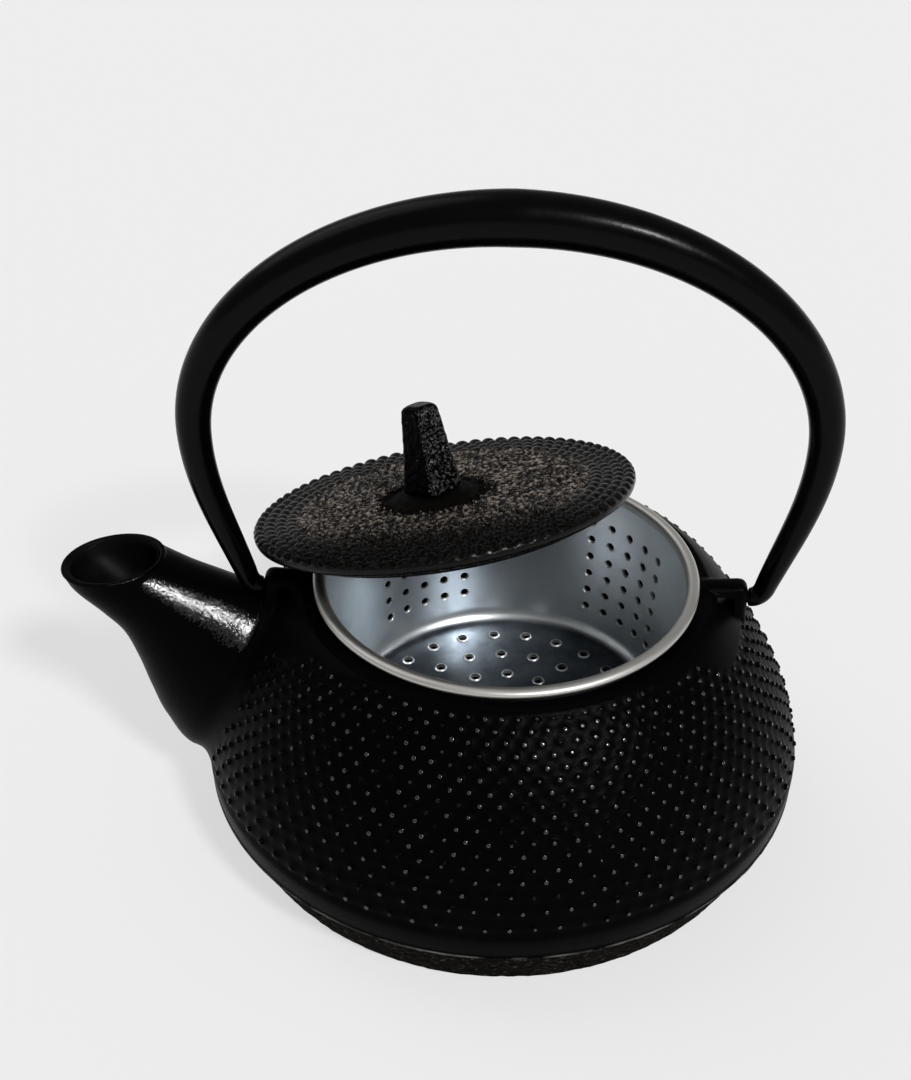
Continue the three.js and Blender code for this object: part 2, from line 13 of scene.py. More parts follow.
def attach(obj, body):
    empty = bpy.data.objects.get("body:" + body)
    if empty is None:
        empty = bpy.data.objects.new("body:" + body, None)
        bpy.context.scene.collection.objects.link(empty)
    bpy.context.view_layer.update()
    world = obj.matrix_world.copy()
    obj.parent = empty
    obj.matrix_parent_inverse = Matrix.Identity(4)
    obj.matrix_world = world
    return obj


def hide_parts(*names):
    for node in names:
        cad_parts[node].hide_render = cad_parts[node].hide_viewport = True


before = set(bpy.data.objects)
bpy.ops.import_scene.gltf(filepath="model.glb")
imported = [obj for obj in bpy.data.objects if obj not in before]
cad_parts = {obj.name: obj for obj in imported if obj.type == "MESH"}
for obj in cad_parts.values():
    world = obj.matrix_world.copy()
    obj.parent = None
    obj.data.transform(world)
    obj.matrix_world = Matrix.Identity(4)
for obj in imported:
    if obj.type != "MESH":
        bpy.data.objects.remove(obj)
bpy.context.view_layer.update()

MM = 0.001
SEED = 11

# Pot casting: profile, as the frame has it
BASE_RADIUS = 53.8
PARTING_HEIGHT = 12.6
PARTING_INSET = 0.4
BELLY_RADIUS = 60.0
BELLY_HEIGHT = 17.0
BELLY_HANDLE = 9.6
NECK_RADIUS = 38.36
NECK_HEIGHT = 53.0
NECK_BORE = 35.56
SHOULDER_HANDLE = 8.0
SHOULDER_SLOPE = 22.4
POT_WALL = 3.2
POT_FLOOR = 3.8

# Hobnails: rows up the profile, alternately set, with how far the surface sinks between them
NUBS_AROUND = 86
NUB_ROWS = 17
NUB_FIRST_ROW = 21.35
NUB_ROW_PITCH = 2.15
NUB_ROW_SPREAD = 3.6
NUB_ROW_SETTLE = 2.2
NUB_HEIGHT = 0.74
NUB_MOUND = 0.36
NUB_BELLY_RADIUS = 1.7
NUB_NECK_RADIUS = 1.3
NUB_MOUND_ROUND = 0.2
NUB_DRIFT = -0.037
NUB_DRIFT_START = 8
NUB_JITTER = 0.09
NUB_LEAN = 0.16
NUB_SIZE_SPREAD = 0.13
NUB_LAST_ROW_SHARE = 0.55
SKIN_COLUMNS = 4 * NUBS_AROUND
NUB_END_TRAVEL = 60.4
NUB_END_DROPS = ((38, 50, 2.4), (56, 68, 6.5))

# Skin outside the hobnails: its depth under the profile, rounds, groove, and grit as wave, depth and seed
SMOOTH_DEPTH = 0.3
FOOT_DEPTH = 0.16
FOOT_ROUND = 1.3
FOOT_INSET = 1.6
NECK_ROUND = 0.8
PARTING_GROOVE = 0.3
PARTING_GROOVE_WIDTH = 0.25
FOOT_GRIT = ((1.5, 0.13, 3.0), (0.8, 0.07, 9.0))

# Bare oval of the side round the spout's root
ROOT_HEIGHT = 31.0
ROOT_HALF_WIDTH = 16.0
ROOT_HALF_RISE = 20.5

# Pip on top of each mound: radius and depth below the tallest tips, from its sunk foot to its top
PIP_PROFILE = [(0.6, 0.66), (0.52, 0.25), (0.4, 0.07), (0.23, 0.016)]
PIP_SIDES = 9
PIP_POLISHED = 0.32

# Pot's material slots
IRON, ENAMEL, HIGHLIT, HIGHLIGHT_GLOSS, DULL = range(5)

# Painted highlights: glossy materials go where places face these directions, which point to the key lamp's
# highlight; how well a place has to face them, and the share that then does.
# The spout's glossy stretch along X fades in and out between its pairs of ends.
HIGHLIGHT_DIRECTION = np.array([0.22, -0.70, 0.68])
NUB_HIGHLIGHT_FACING = (0.5, 0.85)
NUB_HIGHLIGHT_SHARES = (0.01, 0.84)
SPOUT_HIGHLIGHT_FACING = (0.955, 0.985)
SPOUT_HIGHLIGHT_SHARE = 0.97
SPOUT_HIGHLIGHT_ENDS = (-80, -74, -48, -45)
KNOB_HIGHLIGHT_DIRECTION = np.array([0.62, -0.72, 0.31])
KNOB_HIGHLIGHT_FACING = (0.45, 0.8)
KNOB_HIGHLIGHT_SHARES = (0.004, 0.27)

# Spout stations: outer and inner edge points past the belly and below the neck, half width, wall
SPOUT_STATIONS = [
    (25.0, -1.2, 5.1, -3.3, 8.7, 1.2),
    (23.2, 2.6, 4.6, -2.7, 8.7, 2.0),
    (18.6, 7.6, 2.2, -1.5, 8.8, 2.8),
    (14.8, 12.4, -0.8, 0.0, 9.2, 3.2),
    (12.6, 18.8, -4.6, 1.6, 10.2, 3.4),
    (11.0, 25.8, -9.2, 3.6, 11.4, 3.4),
    (8.8, 33.0, -14.4, 6.0, 13.0, 3.4),
    (4.0, 40.4, -20.0, 9.6, 14.4, 3.4),
    (-8.0, 42.0, -26.0, 17.0, 14.0, 3.4),
]
SPOUT_LIP_ROUND = 0.5
SPOUT_BORE_OVERRUN = 2.0
SPOUT_BLEND = (0.2, 4.0)
SPOUT_BLEND_ROUNDS = 150

# Ears, with their windows and pin holes
EAR_INNER = 37.56
EAR_OUTER = 46.36
EAR_TOP = 53.3
EAR_DROP = 11.0
EAR_CORNER = 2.0
EAR_LEG = 2.6
EAR_BAR = 1.9
EAR_WINDOW = 4.4
EAR_THICKNESS = 4.4
EAR_BEVEL = 1.2
EAR_BLEND = (0.1, 1.4)
EAR_BLEND_ROUNDS = 12
PIVOT_HEIGHT = 49.9
PIN_HOLE_RADIUS = 1.4

# Infuser basket
RIM_RADIUS = 36.76
RIM_WIDTH = 2.4
RIM_THICKNESS = 1.8
RIM_HEIGHT = 54.2
CUP_RADIUS = 34.36
CUP_WALL = 0.6
CUP_FLOOR_HEIGHT = 18.2
CUP_FLOOR_RADIUS = 32.76
CUP_COVE = 3.5
WALL_HOLE_RADIUS = 0.82
WALL_HOLE_ROWS = 6
WALL_HOLE_COLUMNS = 5
WALL_HOLE_ROW_PITCH = 4.2
WALL_HOLE_COLUMN_ANGLE = 8
WALL_HOLE_FIRST_ROW = 7.8
WALL_HOLE_PATCHES = (47.6, -32.0, 137.6, -122.0)
FLOOR_HOLE_RADIUS = 0.98
FLOOR_RING_PITCH = 6.7
FLOOR_RINGS = 4
FLOOR_RING_STEP = 6
FLOOR_RING_TURNS = (0.0, 12.0, 27.0, 12.2, 5.3)
HOLE_CHAMFER = 0.15
PUNCH_RIM_WIDTH = 0.36
PUNCH_RIM_HEIGHT = 0.32

# Lid, about its own axis with its flat top at height 0
LID_RADIUS = 37.0
LID_THICKNESS = 2.8
LID_EDGE = 1.0
LID_TILT = 18.0
LID_HEADING = 123.4
LID_SHIFT_LEFT = 12.6
LID_SHIFT_BACK = 11.2
SEAT_GAP = 0.3
SPIGOT_RADIUS = 33.0
SPIGOT_DEPTH = 1.6
SPIGOT_WALL = 2.2
LID_BOSS_RADIUS = 6.6
LID_BOSS_RISE = 0.6
LID_NUBS_AROUND = 78
LID_NUB_ROWS = 4
LID_NUB_FIRST_RADIUS = 35.9
LID_NUB_ROW_PITCH = 2.1
LID_NUB_WIDTH = 1.5
LID_NUB_DEPTH = 1.3
LID_NUB_HEIGHT = 0.8
LID_BORDER_END = LID_NUB_FIRST_RADIUS - LID_NUB_ROWS * LID_NUB_ROW_PITCH
LID_MESH_STEP = 0.27
LID_HUB_RADIUS = 4.0
LID_WRINKLE = 0.6
LID_WRINKLE_WAVES = ((1.55, 21.0), (0.8, 33.0))
# Painted shade round the knob's boss and along the lid's front: where it starts and ends
LID_BOSS_SHADE = (6.5, 3)
LID_FRONT_SHADE = (8, 31)
LID_EDGE_DROP = 0.55
LID_SCALLOP = 0.0015

# Knob, its relief as wave, depth and seed, its stem and the washer
KNOB_BASE = 8.8
KNOB_TOP = 5.7
KNOB_HEIGHT = 16.8
KNOB_OFFSET = 1.7
KNOB_CORNER = 1.3
KNOB_CROWN = 1.3
KNOB_TURN = 48.0
KNOB_WAIST = 0.2
KNOB_RELIEF = ((1.3, 0.09, 41.0), (0.6, 0.05, 47.0))
STEM_RADIUS = 1.9
STEM_CLEARANCE = 0.3
WASHER_RADIUS = 4.6
WASHER_THICKNESS = 0.8
PEEN_RADIUS = 3.0
PEEN_HEIGHT = 1.4

# Bail handle
BAIL_HALF_SPAN = 56.4
BAIL_SHOULDER_RISE = 33.0
BAIL_CROWN_RISE = 74.5
BAIL_CROWN_RADIUS = 4.6
BAIL_FOOT_RADIUS = 1.75
BAIL_TAPER_POWER = 0.66
BAIL_ELBOW = 3.1
BAIL_LEG_LEAN = 10.0
BAIL_LEG_BOW = 1.6
PIN_RADIUS = 1.1
PIN_CLEARANCE = 0.3
PIN_REACH = 1.2


def smooth_step(low, high, value):
    """0 below low, 1 above high, and a smooth rise between them."""
    share = np.clip((value - low) / (high - low), 0, 1)
    return share * share * (3 - 2 * share)


def bezier(controls, steps):
    """Points of a Bezier curve of any degree, its ends included."""
    controls = np.asarray(controls, float)
    share = np.linspace(0, 1, steps + 1)[:, None]
    order = len(controls) - 1
    weights = [math.comb(order, i) * share**i * (1 - share) ** (order - i) for i in range(order + 1)]
    return sum(weight * control for weight, control in zip(weights, controls))


def arc(centre, radii, start, end, steps):
    """Points of an elliptical arc in a plane, its ends included; the angles are degrees."""
    angle = np.radians(np.linspace(start, end, steps + 1))
    return np.stack([centre[0] + radii[0] * np.cos(angle), centre[1] + radii[1] * np.sin(angle)], -1)


def round_angles(count):
    """Even angles once round a circle."""
    return np.arange(count) / count * 2 * math.pi


def rough(points, wave, seed):
    """Perlin noise at points, its features about one wave long."""
    return np.array([noise.noise(Vector(p) / wave + Vector((seed, 0, 0))) for p in points])


def loft(rings, closed=False):
    """Points and faces of a skin over equal rings; open ends get a fan each."""
    rings = np.asarray(rings, float)
    count, sides = rings.shape[:2]
    last = count if closed else count - 1
    ring, side = np.meshgrid(np.arange(last), np.arange(sides), indexing="ij")
    here, beside = ring * sides + side, ring * sides + (side + 1) % sides
    above = (ring + 1) % count * sides
    faces = np.stack([here, beside, above + (side + 1) % sides, above + side], -1).reshape(-1, 4).tolist()
    points = rings.reshape(-1, 3)
    if not closed:
        for edge, turn in ((0, 1), (count - 1, -1)):
            hub = len(points)
            points = np.vstack([points, rings[edge].mean(0)])
            loop = [edge * sides + i for i in range(sides)]
            faces += [[hub, loop[(i + 1) % sides], loop[i]][::turn] for i in range(sides)]
    return points, faces


def lathe(outline, sides, closed=False):
    """Rings of an outline of (radius, height) turned about the Z axis."""
    outline = np.asarray(outline, float)
    angle = round_angles(sides)
    radius, height = outline[:, :1], np.repeat(outline[:, 1:], sides, 1)
    return loft(np.stack([radius * np.cos(angle), radius * np.sin(angle), height], -1), closed)


def linked(name, data):
    """New object in the scene."""
    made = bpy.data.objects.new(name, data)
    bpy.context.scene.collection.objects.link(made)
    return made


def solid(name, skin, slots=(), slot_index=0):
    """Closed mesh object from points in millimetres and faces, its faces pointing out."""
    points, faces = skin
    mesh = bpy.data.meshes.new(name)
    mesh.from_pydata((np.asarray(points) * MM).tolist(), [], faces)
    for entry in slots:
        mesh.materials.append(entry)
    shaped = bmesh.new()
    shaped.from_mesh(mesh)
    bmesh.ops.recalc_face_normals(shaped, faces=shaped.faces)
    shaped.to_mesh(mesh)
    shaped.free()
    mesh.polygons.foreach_set("material_index", [slot_index] * len(mesh.polygons))
    return linked(name, mesh)


def combine(target, tool, operation):
    """Joins the tool to the target, or cuts it away, and removes the tool."""
    change = target.modifiers.new("change", "BOOLEAN")
    change.object = tool
    change.operation = operation
    change.solver = "MANIFOLD"
    graph = bpy.context.evaluated_depsgraph_get()
    mesh = bpy.data.meshes.new_from_object(target.evaluated_get(graph))
    target.modifiers.clear()
    spent = target.data
    target.data = mesh
    bpy.data.meshes.remove(spent)
    bpy.data.objects.remove(tool)


def read(items, name, kind=np.float32, width=1):
    """One value, or a row of them, of every point, edge or face of a mesh."""
    values = np.zeros(len(items) * width, kind)
    items.foreach_get(name, values)
    return values.reshape(-1, width) if width > 1 else values


def coordinates(mesh):
    """Points of a mesh in millimetres."""
    return read(mesh.vertices, "co", width=3).astype(float) / MM


def face_values(mesh):
    """Centres in mm, normals and material slots of a mesh's faces."""
    centres, normals = (read(mesh.polygons, name, float, 3) for name in ("center", "normal"))
    return centres / MM, normals, read(mesh.polygons, "material_index", np.int32)


def soften(piece, weights, rounds):
    """Relaxes the points of a mesh towards their neighbours, each by its weight."""
    mesh = piece.data
    points = coordinates(mesh)
    pairs = read(mesh.edges, "vertices", np.int32, 2)
    pairs = pairs[(weights[pairs] > 0).any(1)]
    both = np.vstack([pairs, pairs[:, ::-1]])
    count = np.maximum(np.bincount(both[:, 0], minlength=len(points)), 1)
    for _ in range(rounds):
        total = np.stack([np.bincount(both[:, 0], points[both[:, 1], k], len(points)) for k in range(3)], -1)
        points += weights[:, None] * 0.5 * (total / count[:, None] - points) * (count > 1)[:, None]
    mesh.vertices.foreach_set("co", (points * MM).astype(np.float32).ravel())


def distances(points, tree, reach):
    """How far points lie from a surface, or the reach where that is farther."""
    found = (tree.find_nearest(Vector(p), reach) for p in points)
    return np.array([reach if hit[3] is None else hit[3] for hit in found])


def surface_tree(piece):
    """Search tree over a mesh, in millimetres."""
    faces = [list(face.vertices) for face in piece.data.polygons]
    return BVHTree.FromPolygons([Vector(p) for p in coordinates(piece.data)], faces)


def seam_weights(points, near, trees, span):
    """1 for the near points on the seam of two surfaces, falling to 0 over a span of distances."""
    weights = np.zeros(len(points))
    gaps = [distances(points[near], tree, span[1] + 1) for tree in trees]
    weights[near] = 1 - smooth_step(*span, np.maximum(*gaps))
    return weights


def finish_surface(piece, sharp_angle):
    """Smooth shading, with the edges over an angle kept sharp."""
    mesh = piece.data
    mesh.polygons.foreach_set("use_smooth", [True] * len(mesh.polygons))
    mesh.set_sharp_from_angle(angle=math.radians(sharp_angle))
    mesh.update()


def point_value(piece, name, values):
    """Keeps one number for each point, for the material to read."""
    layer = piece.data.attributes.new(name, "FLOAT", "POINT")
    layer.data.foreach_set("value", np.asarray(values, np.float32))


class Shader:
    """One Principled material and short ways to add the nodes that feed it."""

    def __init__(self, name, **settings):
        self.material = bpy.data.materials.new(name)
        self.material.use_nodes = True
        self.tree = self.material.node_tree
        self.base = self.tree.nodes["Principled BSDF"]
        self.place = self.tree.nodes.new("ShaderNodeTexCoord").outputs["Object"]
        self.feed(**settings)

    def node(self, kind, links, **settings):
        """Adds a node, with a socket or a value for each input."""
        made = self.tree.nodes.new(kind)
        for key, value in settings.items():
            setattr(made, key, value)
        for socket, value in links.items():
            self.give(made.inputs[socket], value)
        return made

    def give(self, socket, value):
        """Gives an input another node's output or a value."""
        if isinstance(value, bpy.types.NodeSocket):
            self.tree.links.new(value, socket)
        else:
            socket.default_value = value

    def noise(self, size, detail=3.0, roughness=0.6, place=None):
        """Noise whose features are about size millimetres."""
        links = {"Vector": place or self.place, "Scale": 1 / (size * MM), "Detail": detail}
        return self.node("ShaderNodeTexNoise", {**links, "Roughness": roughness}).outputs["Fac"]

    def spread(self, value, low, high, to_low=0.0, to_high=1.0):
        """Maps a stretch of values onto another, without going past its ends."""
        links = {"Value": value, "From Min": low, "From Max": high, "To Min": to_low, "To Max": to_high}
        return self.node("ShaderNodeMapRange", links).outputs["Result"]

    def math(self, operation, first, second):
        """One sum, product or the like of two numbers."""
        return self.node("ShaderNodeMath", {0: first, 1: second}, operation=operation).outputs[0]

    def mix(self, factor, first, second):
        """Mixes two colours, each a socket or three numbers."""
        first, second = (c if isinstance(c, bpy.types.NodeSocket) else (*c, 1.0) for c in (first, second))
        made = self.node("ShaderNodeMix", {"Factor": factor}, data_type="RGBA")
        self.give(made.inputs[6], first)
        self.give(made.inputs[7], second)
        return made.outputs[2]

    def value(self, name):
        """A number kept on the mesh."""
        return self.node("ShaderNodeAttribute", {}, attribute_name=name).outputs["Fac"]

    def height(self):
        """Height of the place above the origin, in metres."""
        return self.node("ShaderNodeSeparateXYZ", {0: self.place}).outputs["Z"]

    def bump(self, height, depth, strength=1.0, below=None):
        """Relief of a depth in millimetres, on top of other relief if there is some."""
        links = {"Height": height, "Distance": depth * MM, "Strength": strength}
        if below:
            links["Normal"] = below
        return self.node("ShaderNodeBump", links).outputs["Normal"]

    def grained(self, skin, grain, low, high, normal):
        """Colour and relief of a surface whose roughness follows a noise; returns the material."""
        return self.feed(Base_Color=skin, Roughness=self.spread(grain, 0.3, 0.7, low, high), Normal=normal)

    def feed(self, **sockets):
        """Feeds the surface, and returns the material."""
        for socket, value in sockets.items():
            self.give(self.base.inputs[socket.replace("_", " ")], value)
        return self.material


def pot_iron():
    """Black paint over cast iron, with a mottled foot band and a paler parting line: bare iron, painted pale
    as a highlight for its glints.
    """
    look = Shader("pot_iron", Specular_IOR_Level=0.021)
    grain = look.noise(0.42)
    blotch = look.noise(7.0, 4.0, 0.55)
    foot = look.spread(look.height(), (PARTING_HEIGHT + 0.2) * MM, (PARTING_HEIGHT - 0.3) * MM)
    from_line = look.math("ABSOLUTE", look.math("SUBTRACT", look.height(), PARTING_HEIGHT * MM), 0.0)
    line = look.spread(from_line, 0.14 * MM, 0.32 * MM, 1.0, 0.0)
    pits = look.noise(1.1, 3.0, 0.65)
    skin = look.mix(blotch, (0.0003, 0.0003, 0.0003), (0.0012, 0.0012, 0.0013))
    mottle = look.math("MULTIPLY", foot, look.spread(pits, 0.42, 0.6))
    fleck = look.math("MULTIPLY", foot, look.spread(pits, 0.6, 0.68))
    skin = look.mix(mottle, skin, (0.0075, 0.0062, 0.0048))
    skin = look.mix(fleck, skin, (0.06, 0.052, 0.042))
    # Parting line: bare iron, painted pale grey as a painted highlight for its glints
    skin = look.mix(look.math("MULTIPLY", line, look.spread(blotch, 0.4, 0.75)), skin, (0.16, 0.16, 0.15))
    roughness = look.spread(grain, 0.3, 0.7, 0.3, 0.44)
    roughness = look.math("MAXIMUM", roughness, look.math("MULTIPLY", foot, 0.95))
    normal = look.bump(grain, 0.08, 0.7)
    normal = look.bump(pits, 0.4, look.math("MULTIPLY", foot, 0.9), normal)
    return look.feed(Base_Color=skin, Roughness=roughness, Normal=normal)


def nub_iron(name, specular):
    """Tops of the hobnails, each a little different; the glossy copy paints highlights on the tips that face
    the key lamp, the dull copy serves the rest.
    """
    look = Shader(name, Specular_IOR_Level=specular)
    wear = look.value("wear")
    skin = look.mix(wear, (0.0004, 0.0004, 0.0004), (0.005, 0.005, 0.0052))
    roughness = look.spread(wear, 0.0, 0.7, 0.34, 0.15)
    return look.feed(Base_Color=skin, Roughness=roughness)


def spout_highlight_gloss():
    """Glossy black paint over sandy iron, sandier towards the root of the spout; a painted highlight, used
    only where the key lamp's highlight falls on the spout.
    """
    look = Shader("spout_highlight_gloss", Specular_IOR_Level=0.6)
    grain = look.noise(0.62)
    across = look.node("ShaderNodeSeparateXYZ", {0: look.place}).outputs["X"]
    sandy = look.spread(across, -(BELLY_RADIUS + 19) * MM, -(BELLY_RADIUS + 4) * MM, 0.3, 1.0)
    skin = look.mix(grain, (0.0004, 0.0004, 0.0004), (0.0012, 0.0012, 0.0013))
    return look.grained(skin, grain, 0.09, 0.17, look.bump(grain, 0.09, sandy))


def pot_enamel():
    """Thin black coat inside the pot and the spout."""
    look = Shader("pot_enamel", Specular_IOR_Level=0.05)
    ripple = look.noise(3.0, 3.0, 0.5)
    skin = look.mix(ripple, (0.001, 0.001, 0.0012), (0.003, 0.003, 0.0036))
    return look.grained(skin, ripple, 0.34, 0.5, look.bump(ripple, 0.12, 0.5))


def pot_profile():
    """Dense points up the pot's side, with the arc length and the outward normal at each."""
    parting = (BELLY_RADIUS - PARTING_INSET, PARTING_HEIGHT)
    belly = (BELLY_RADIUS, BELLY_HEIGHT)
    slope = math.radians(SHOULDER_SLOPE)
    band = bezier([(BASE_RADIUS, 0), parting], 400)
    turn = bezier([parting, (BELLY_RADIUS, (PARTING_HEIGHT + BELLY_HEIGHT) / 2), belly], 200)
    run, fall = SHOULDER_HANDLE * math.cos(slope), SHOULDER_HANDLE * math.sin(slope)
    handles = [(BELLY_RADIUS, BELLY_HEIGHT + BELLY_HANDLE), (NECK_RADIUS + run, NECK_HEIGHT - fall)]
    shoulder = bezier([belly, *handles, (NECK_RADIUS, NECK_HEIGHT)], 1200)
    points = np.vstack([band, turn[1:], shoulder[1:]])
    steps = np.diff(points, axis=0)
    lengths = np.hypot(*steps.T)
    travel = np.concatenate([[0], np.cumsum(lengths)])
    tangent = np.gradient(points, travel, axis=0)
    normal = np.stack([tangent[:, 1], -tangent[:, 0]], -1)
    normal /= np.hypot(*normal.T)[:, None]
    return points, travel, normal


PROFILE, TRAVEL, PROFILE_NORMAL = pot_profile()
PROFILE_LENGTH = TRAVEL[-1]
PARTING_TRAVEL = float(np.interp(PARTING_HEIGHT, PROFILE[:, 1], TRAVEL))


def at_travel(travel):
    """Radius, height and outward normal of the pot's side at an arc length."""
    return tuple(np.interp(travel, TRAVEL, column) for column in (*PROFILE.T, *PROFILE_NORMAL.T))


def nub_row_travel(row):
    """Arc length at which a row of hobnails stands."""
    return NUB_FIRST_ROW + NUB_ROW_PITCH * row + NUB_ROW_SPREAD * (1 - np.exp(-row / NUB_ROW_SETTLE))


def nub_drift(row):
    """How far the pattern has drifted round the pot at a row, in degrees."""
    return NUB_DRIFT * np.maximum(0, row - NUB_DRIFT_START) ** 2


def nub_row_turn(row):
    """Turn of a row in degrees: half a pitch for every second one, and the drift of the upper ones."""
    return 360 / NUBS_AROUND * 0.5 * (row % 2 == 0) + nub_drift(row)


def nub_mounds(travel, turn):
    """Height share of the mounds under the hobnails, by arc length and by turn from the front."""
    radius = at_travel(travel)[0]
    height = np.zeros_like(travel)
    for row in range(NUB_ROWS):
        count = (turn - nub_row_turn(row)) / 360 * NUBS_AROUND
        across = (count - np.round(count)) / NUBS_AROUND * 2 * math.pi * radius
        base = NUB_BELLY_RADIUS + (NUB_NECK_RADIUS - NUB_BELLY_RADIUS) * row / (NUB_ROWS - 1)
        reach = np.hypot(across, travel - nub_row_travel(row)) / base
        cone = 1 + NUB_MOUND_ROUND - np.sqrt(reach**2 + NUB_MOUND_ROUND**2)
        height = np.maximum(height, np.clip(cone, 0, 1))
    return height


def nub_zone(travel, turn):
    """1 where the side carries hobnails, 0 by the ears, the spout, the neck and below the first row."""
    side = np.degrees(np.arcsin(np.abs(np.sin(np.radians(turn)))))
    limit = NUB_END_TRAVEL - sum(drop * smooth_step(start, end, side) for start, end, drop in NUB_END_DROPS)
    zone = 1 - smooth_step(limit - 1.2, limit, travel)
    zone *= smooth_step(NUB_FIRST_ROW - 2.6, NUB_FIRST_ROW - 0.8, travel)
    radius, height = at_travel(travel)[:2]
    across = radius * np.cos(np.radians(turn))
    spoutward = np.sin(np.radians(turn)) < 0
    root = np.hypot(across / ROOT_HALF_WIDTH, (height - ROOT_HEIGHT) / ROOT_HALF_RISE)
    return zone * np.where(spoutward, smooth_step(1.0, 1.22, root), 1)


def skin_rows():
    """Arc lengths of the mesh's rows: even in the foot band, dense where there are hobnails."""
    rows = list(np.linspace(0, 1.2, 4)) + list(np.linspace(1.9, PARTING_TRAVEL - 0.6, 18))
    rows += [PARTING_TRAVEL + d for d in (-0.35, -0.18, 0, 0.18, 0.4)]
    rows += list(np.linspace(PARTING_TRAVEL + 0.8, nub_row_travel(0) - 2.0, 8))
    marks = [nub_row_travel(0) - 1.5] + [nub_row_travel(row) for row in range(NUB_ROWS)]
    for low, high in zip(marks, marks[1:]):
        rows += list(np.linspace(low, high, 7 if high - low > 2.4 else 6)[:-1])
    rows += list(np.linspace(marks[-1], PROFILE_LENGTH, 7))
    return np.array(rows)


def pot_skin_solid(slots):
    """The pot's outside as one solid of revolution, with the mounds of its hobnails in the mesh."""
    rows = skin_rows()
    turns = np.arange(SKIN_COLUMNS) / SKIN_COLUMNS * 360
    travel, turn = np.meshgrid(rows, turns, indexing="ij")
    row = np.interp(travel, nub_row_travel(np.arange(NUB_ROWS)), np.arange(NUB_ROWS))
    turn = turn + nub_drift(row)
    radius, height, out_radius, out_height = at_travel(travel)
    zone = nub_zone(travel, turn)
    smooth_area = np.where(travel < PARTING_TRAVEL, FOOT_DEPTH, SMOOTH_DEPTH)
    smooth_area -= PARTING_GROOVE * np.exp(-(((travel - PARTING_TRAVEL) / PARTING_GROOVE_WIDTH) ** 2))
    depth = smooth_area + zone * (NUB_HEIGHT - smooth_area - nub_mounds(travel, turn) * NUB_MOUND)
    depth = np.maximum(depth, 0) + 0.6 * np.clip(1 - travel / FOOT_ROUND, 0, 1) ** 2
    depth += 0.45 * np.clip(1 - (PROFILE_LENGTH - travel) / NECK_ROUND, 0, 1) ** 2
    angle = np.radians(turn)
    around = np.stack([np.sin(angle), -np.cos(angle)], -1)
    flat = (around * radius[..., None]).reshape(-1, 2)
    spots = np.column_stack([flat, height.ravel()])
    sandy = travel.ravel() < PARTING_TRAVEL
    grit = np.zeros(len(spots))
    grit[sandy] = sum(deep * rough(spots[sandy], wave, seed) for wave, deep, seed in FOOT_GRIT)
    depth -= grit.reshape(depth.shape)
    radius, height = radius - depth * out_radius, height - depth * out_height
    points = np.concatenate([around * radius[..., None], height[..., None]], -1)
    foot = points[0].copy()
    foot[:, :2] *= (BASE_RADIUS - FOOT_INSET) / np.hypot(foot[:, 0], foot[:, 1])[:, None]
    foot[:, 2] = 0
    points[..., 2] = np.maximum(points[..., 2], 0)
    return solid("pot_skin", loft(np.concatenate([foot[None], points])), slots)


def nub_pips():
    """A small rounded pip on each mound, with the place of its top and how worn it is."""
    random = np.random.default_rng(SEED)
    row, column = (grid.ravel() for grid in np.indices((NUB_ROWS, NUBS_AROUND)))
    shift = random.normal(0, NUB_JITTER, (2, len(row)))
    lean = random.normal(0, NUB_LEAN, (2, len(row), 1))
    size = 1 + random.normal(0, NUB_SIZE_SPREAD, len(row))
    sink = random.random(len(row)) ** 2 * 0.2
    wear = random.random(len(row)) ** 2.6
    travel = nub_row_travel(row) + shift[0]
    radius, height, out_radius, out_height = at_travel(travel)
    turn = (column / NUBS_AROUND * 360 + nub_row_turn(row) + np.degrees(shift[1] / radius)) % 360
    share = nub_zone(travel, turn) * np.where(row == NUB_ROWS - 1, NUB_LAST_ROW_SHARE, 1)
    kept = share > 0.3
    angle = np.radians(turn)
    around = np.stack([np.cos(angle), np.sin(angle), np.zeros_like(angle)], -1)
    out = np.stack([np.sin(angle) * out_radius, -np.cos(angle) * out_radius, out_height], -1)
    up = np.cross(out, around)
    top = np.stack([np.sin(angle) * radius, -np.cos(angle) * radius, height], -1)
    top -= out * (sink + (1 - share) * NUB_MOUND)[:, None]
    axis = out + around * lean[0] + up * lean[1]
    axis /= np.linalg.norm(axis, axis=1)[:, None]
    side = round_angles(PIP_SIDES)[:, None]
    skins = []
    for place, lead, wide, first, second in zip(*(part[kept] for part in (top, axis, size, around, up))):
        circle = np.cos(side) * first + np.sin(side) * second
        skins.append(loft([place - lead * depth + reach * wide * circle for reach, depth in PIP_PROFILE]))
    return merged(skins), top[kept], wear[kept]


def spout_path(steps_between):
    """Stations of the spout on smooth curves through the given ones."""
    marks = np.array(SPOUT_STATIONS)
    marks = np.vstack([2 * marks[0] - marks[1], marks, 2 * marks[-1] - marks[-2]])
    path = []
    for before, here, there, after in zip(marks, marks[1:], marks[2:], marks[3:]):
        bend = 2 * before - 5 * here + 4 * there - after
        swing = 3 * here - before - 3 * there + after
        for share in np.arange(steps_between) / steps_between:
            path.append(0.5 * (2 * here + (there - before) * share + bend * share**2 + swing * share**3))
    return np.array(path + [marks[-2]])


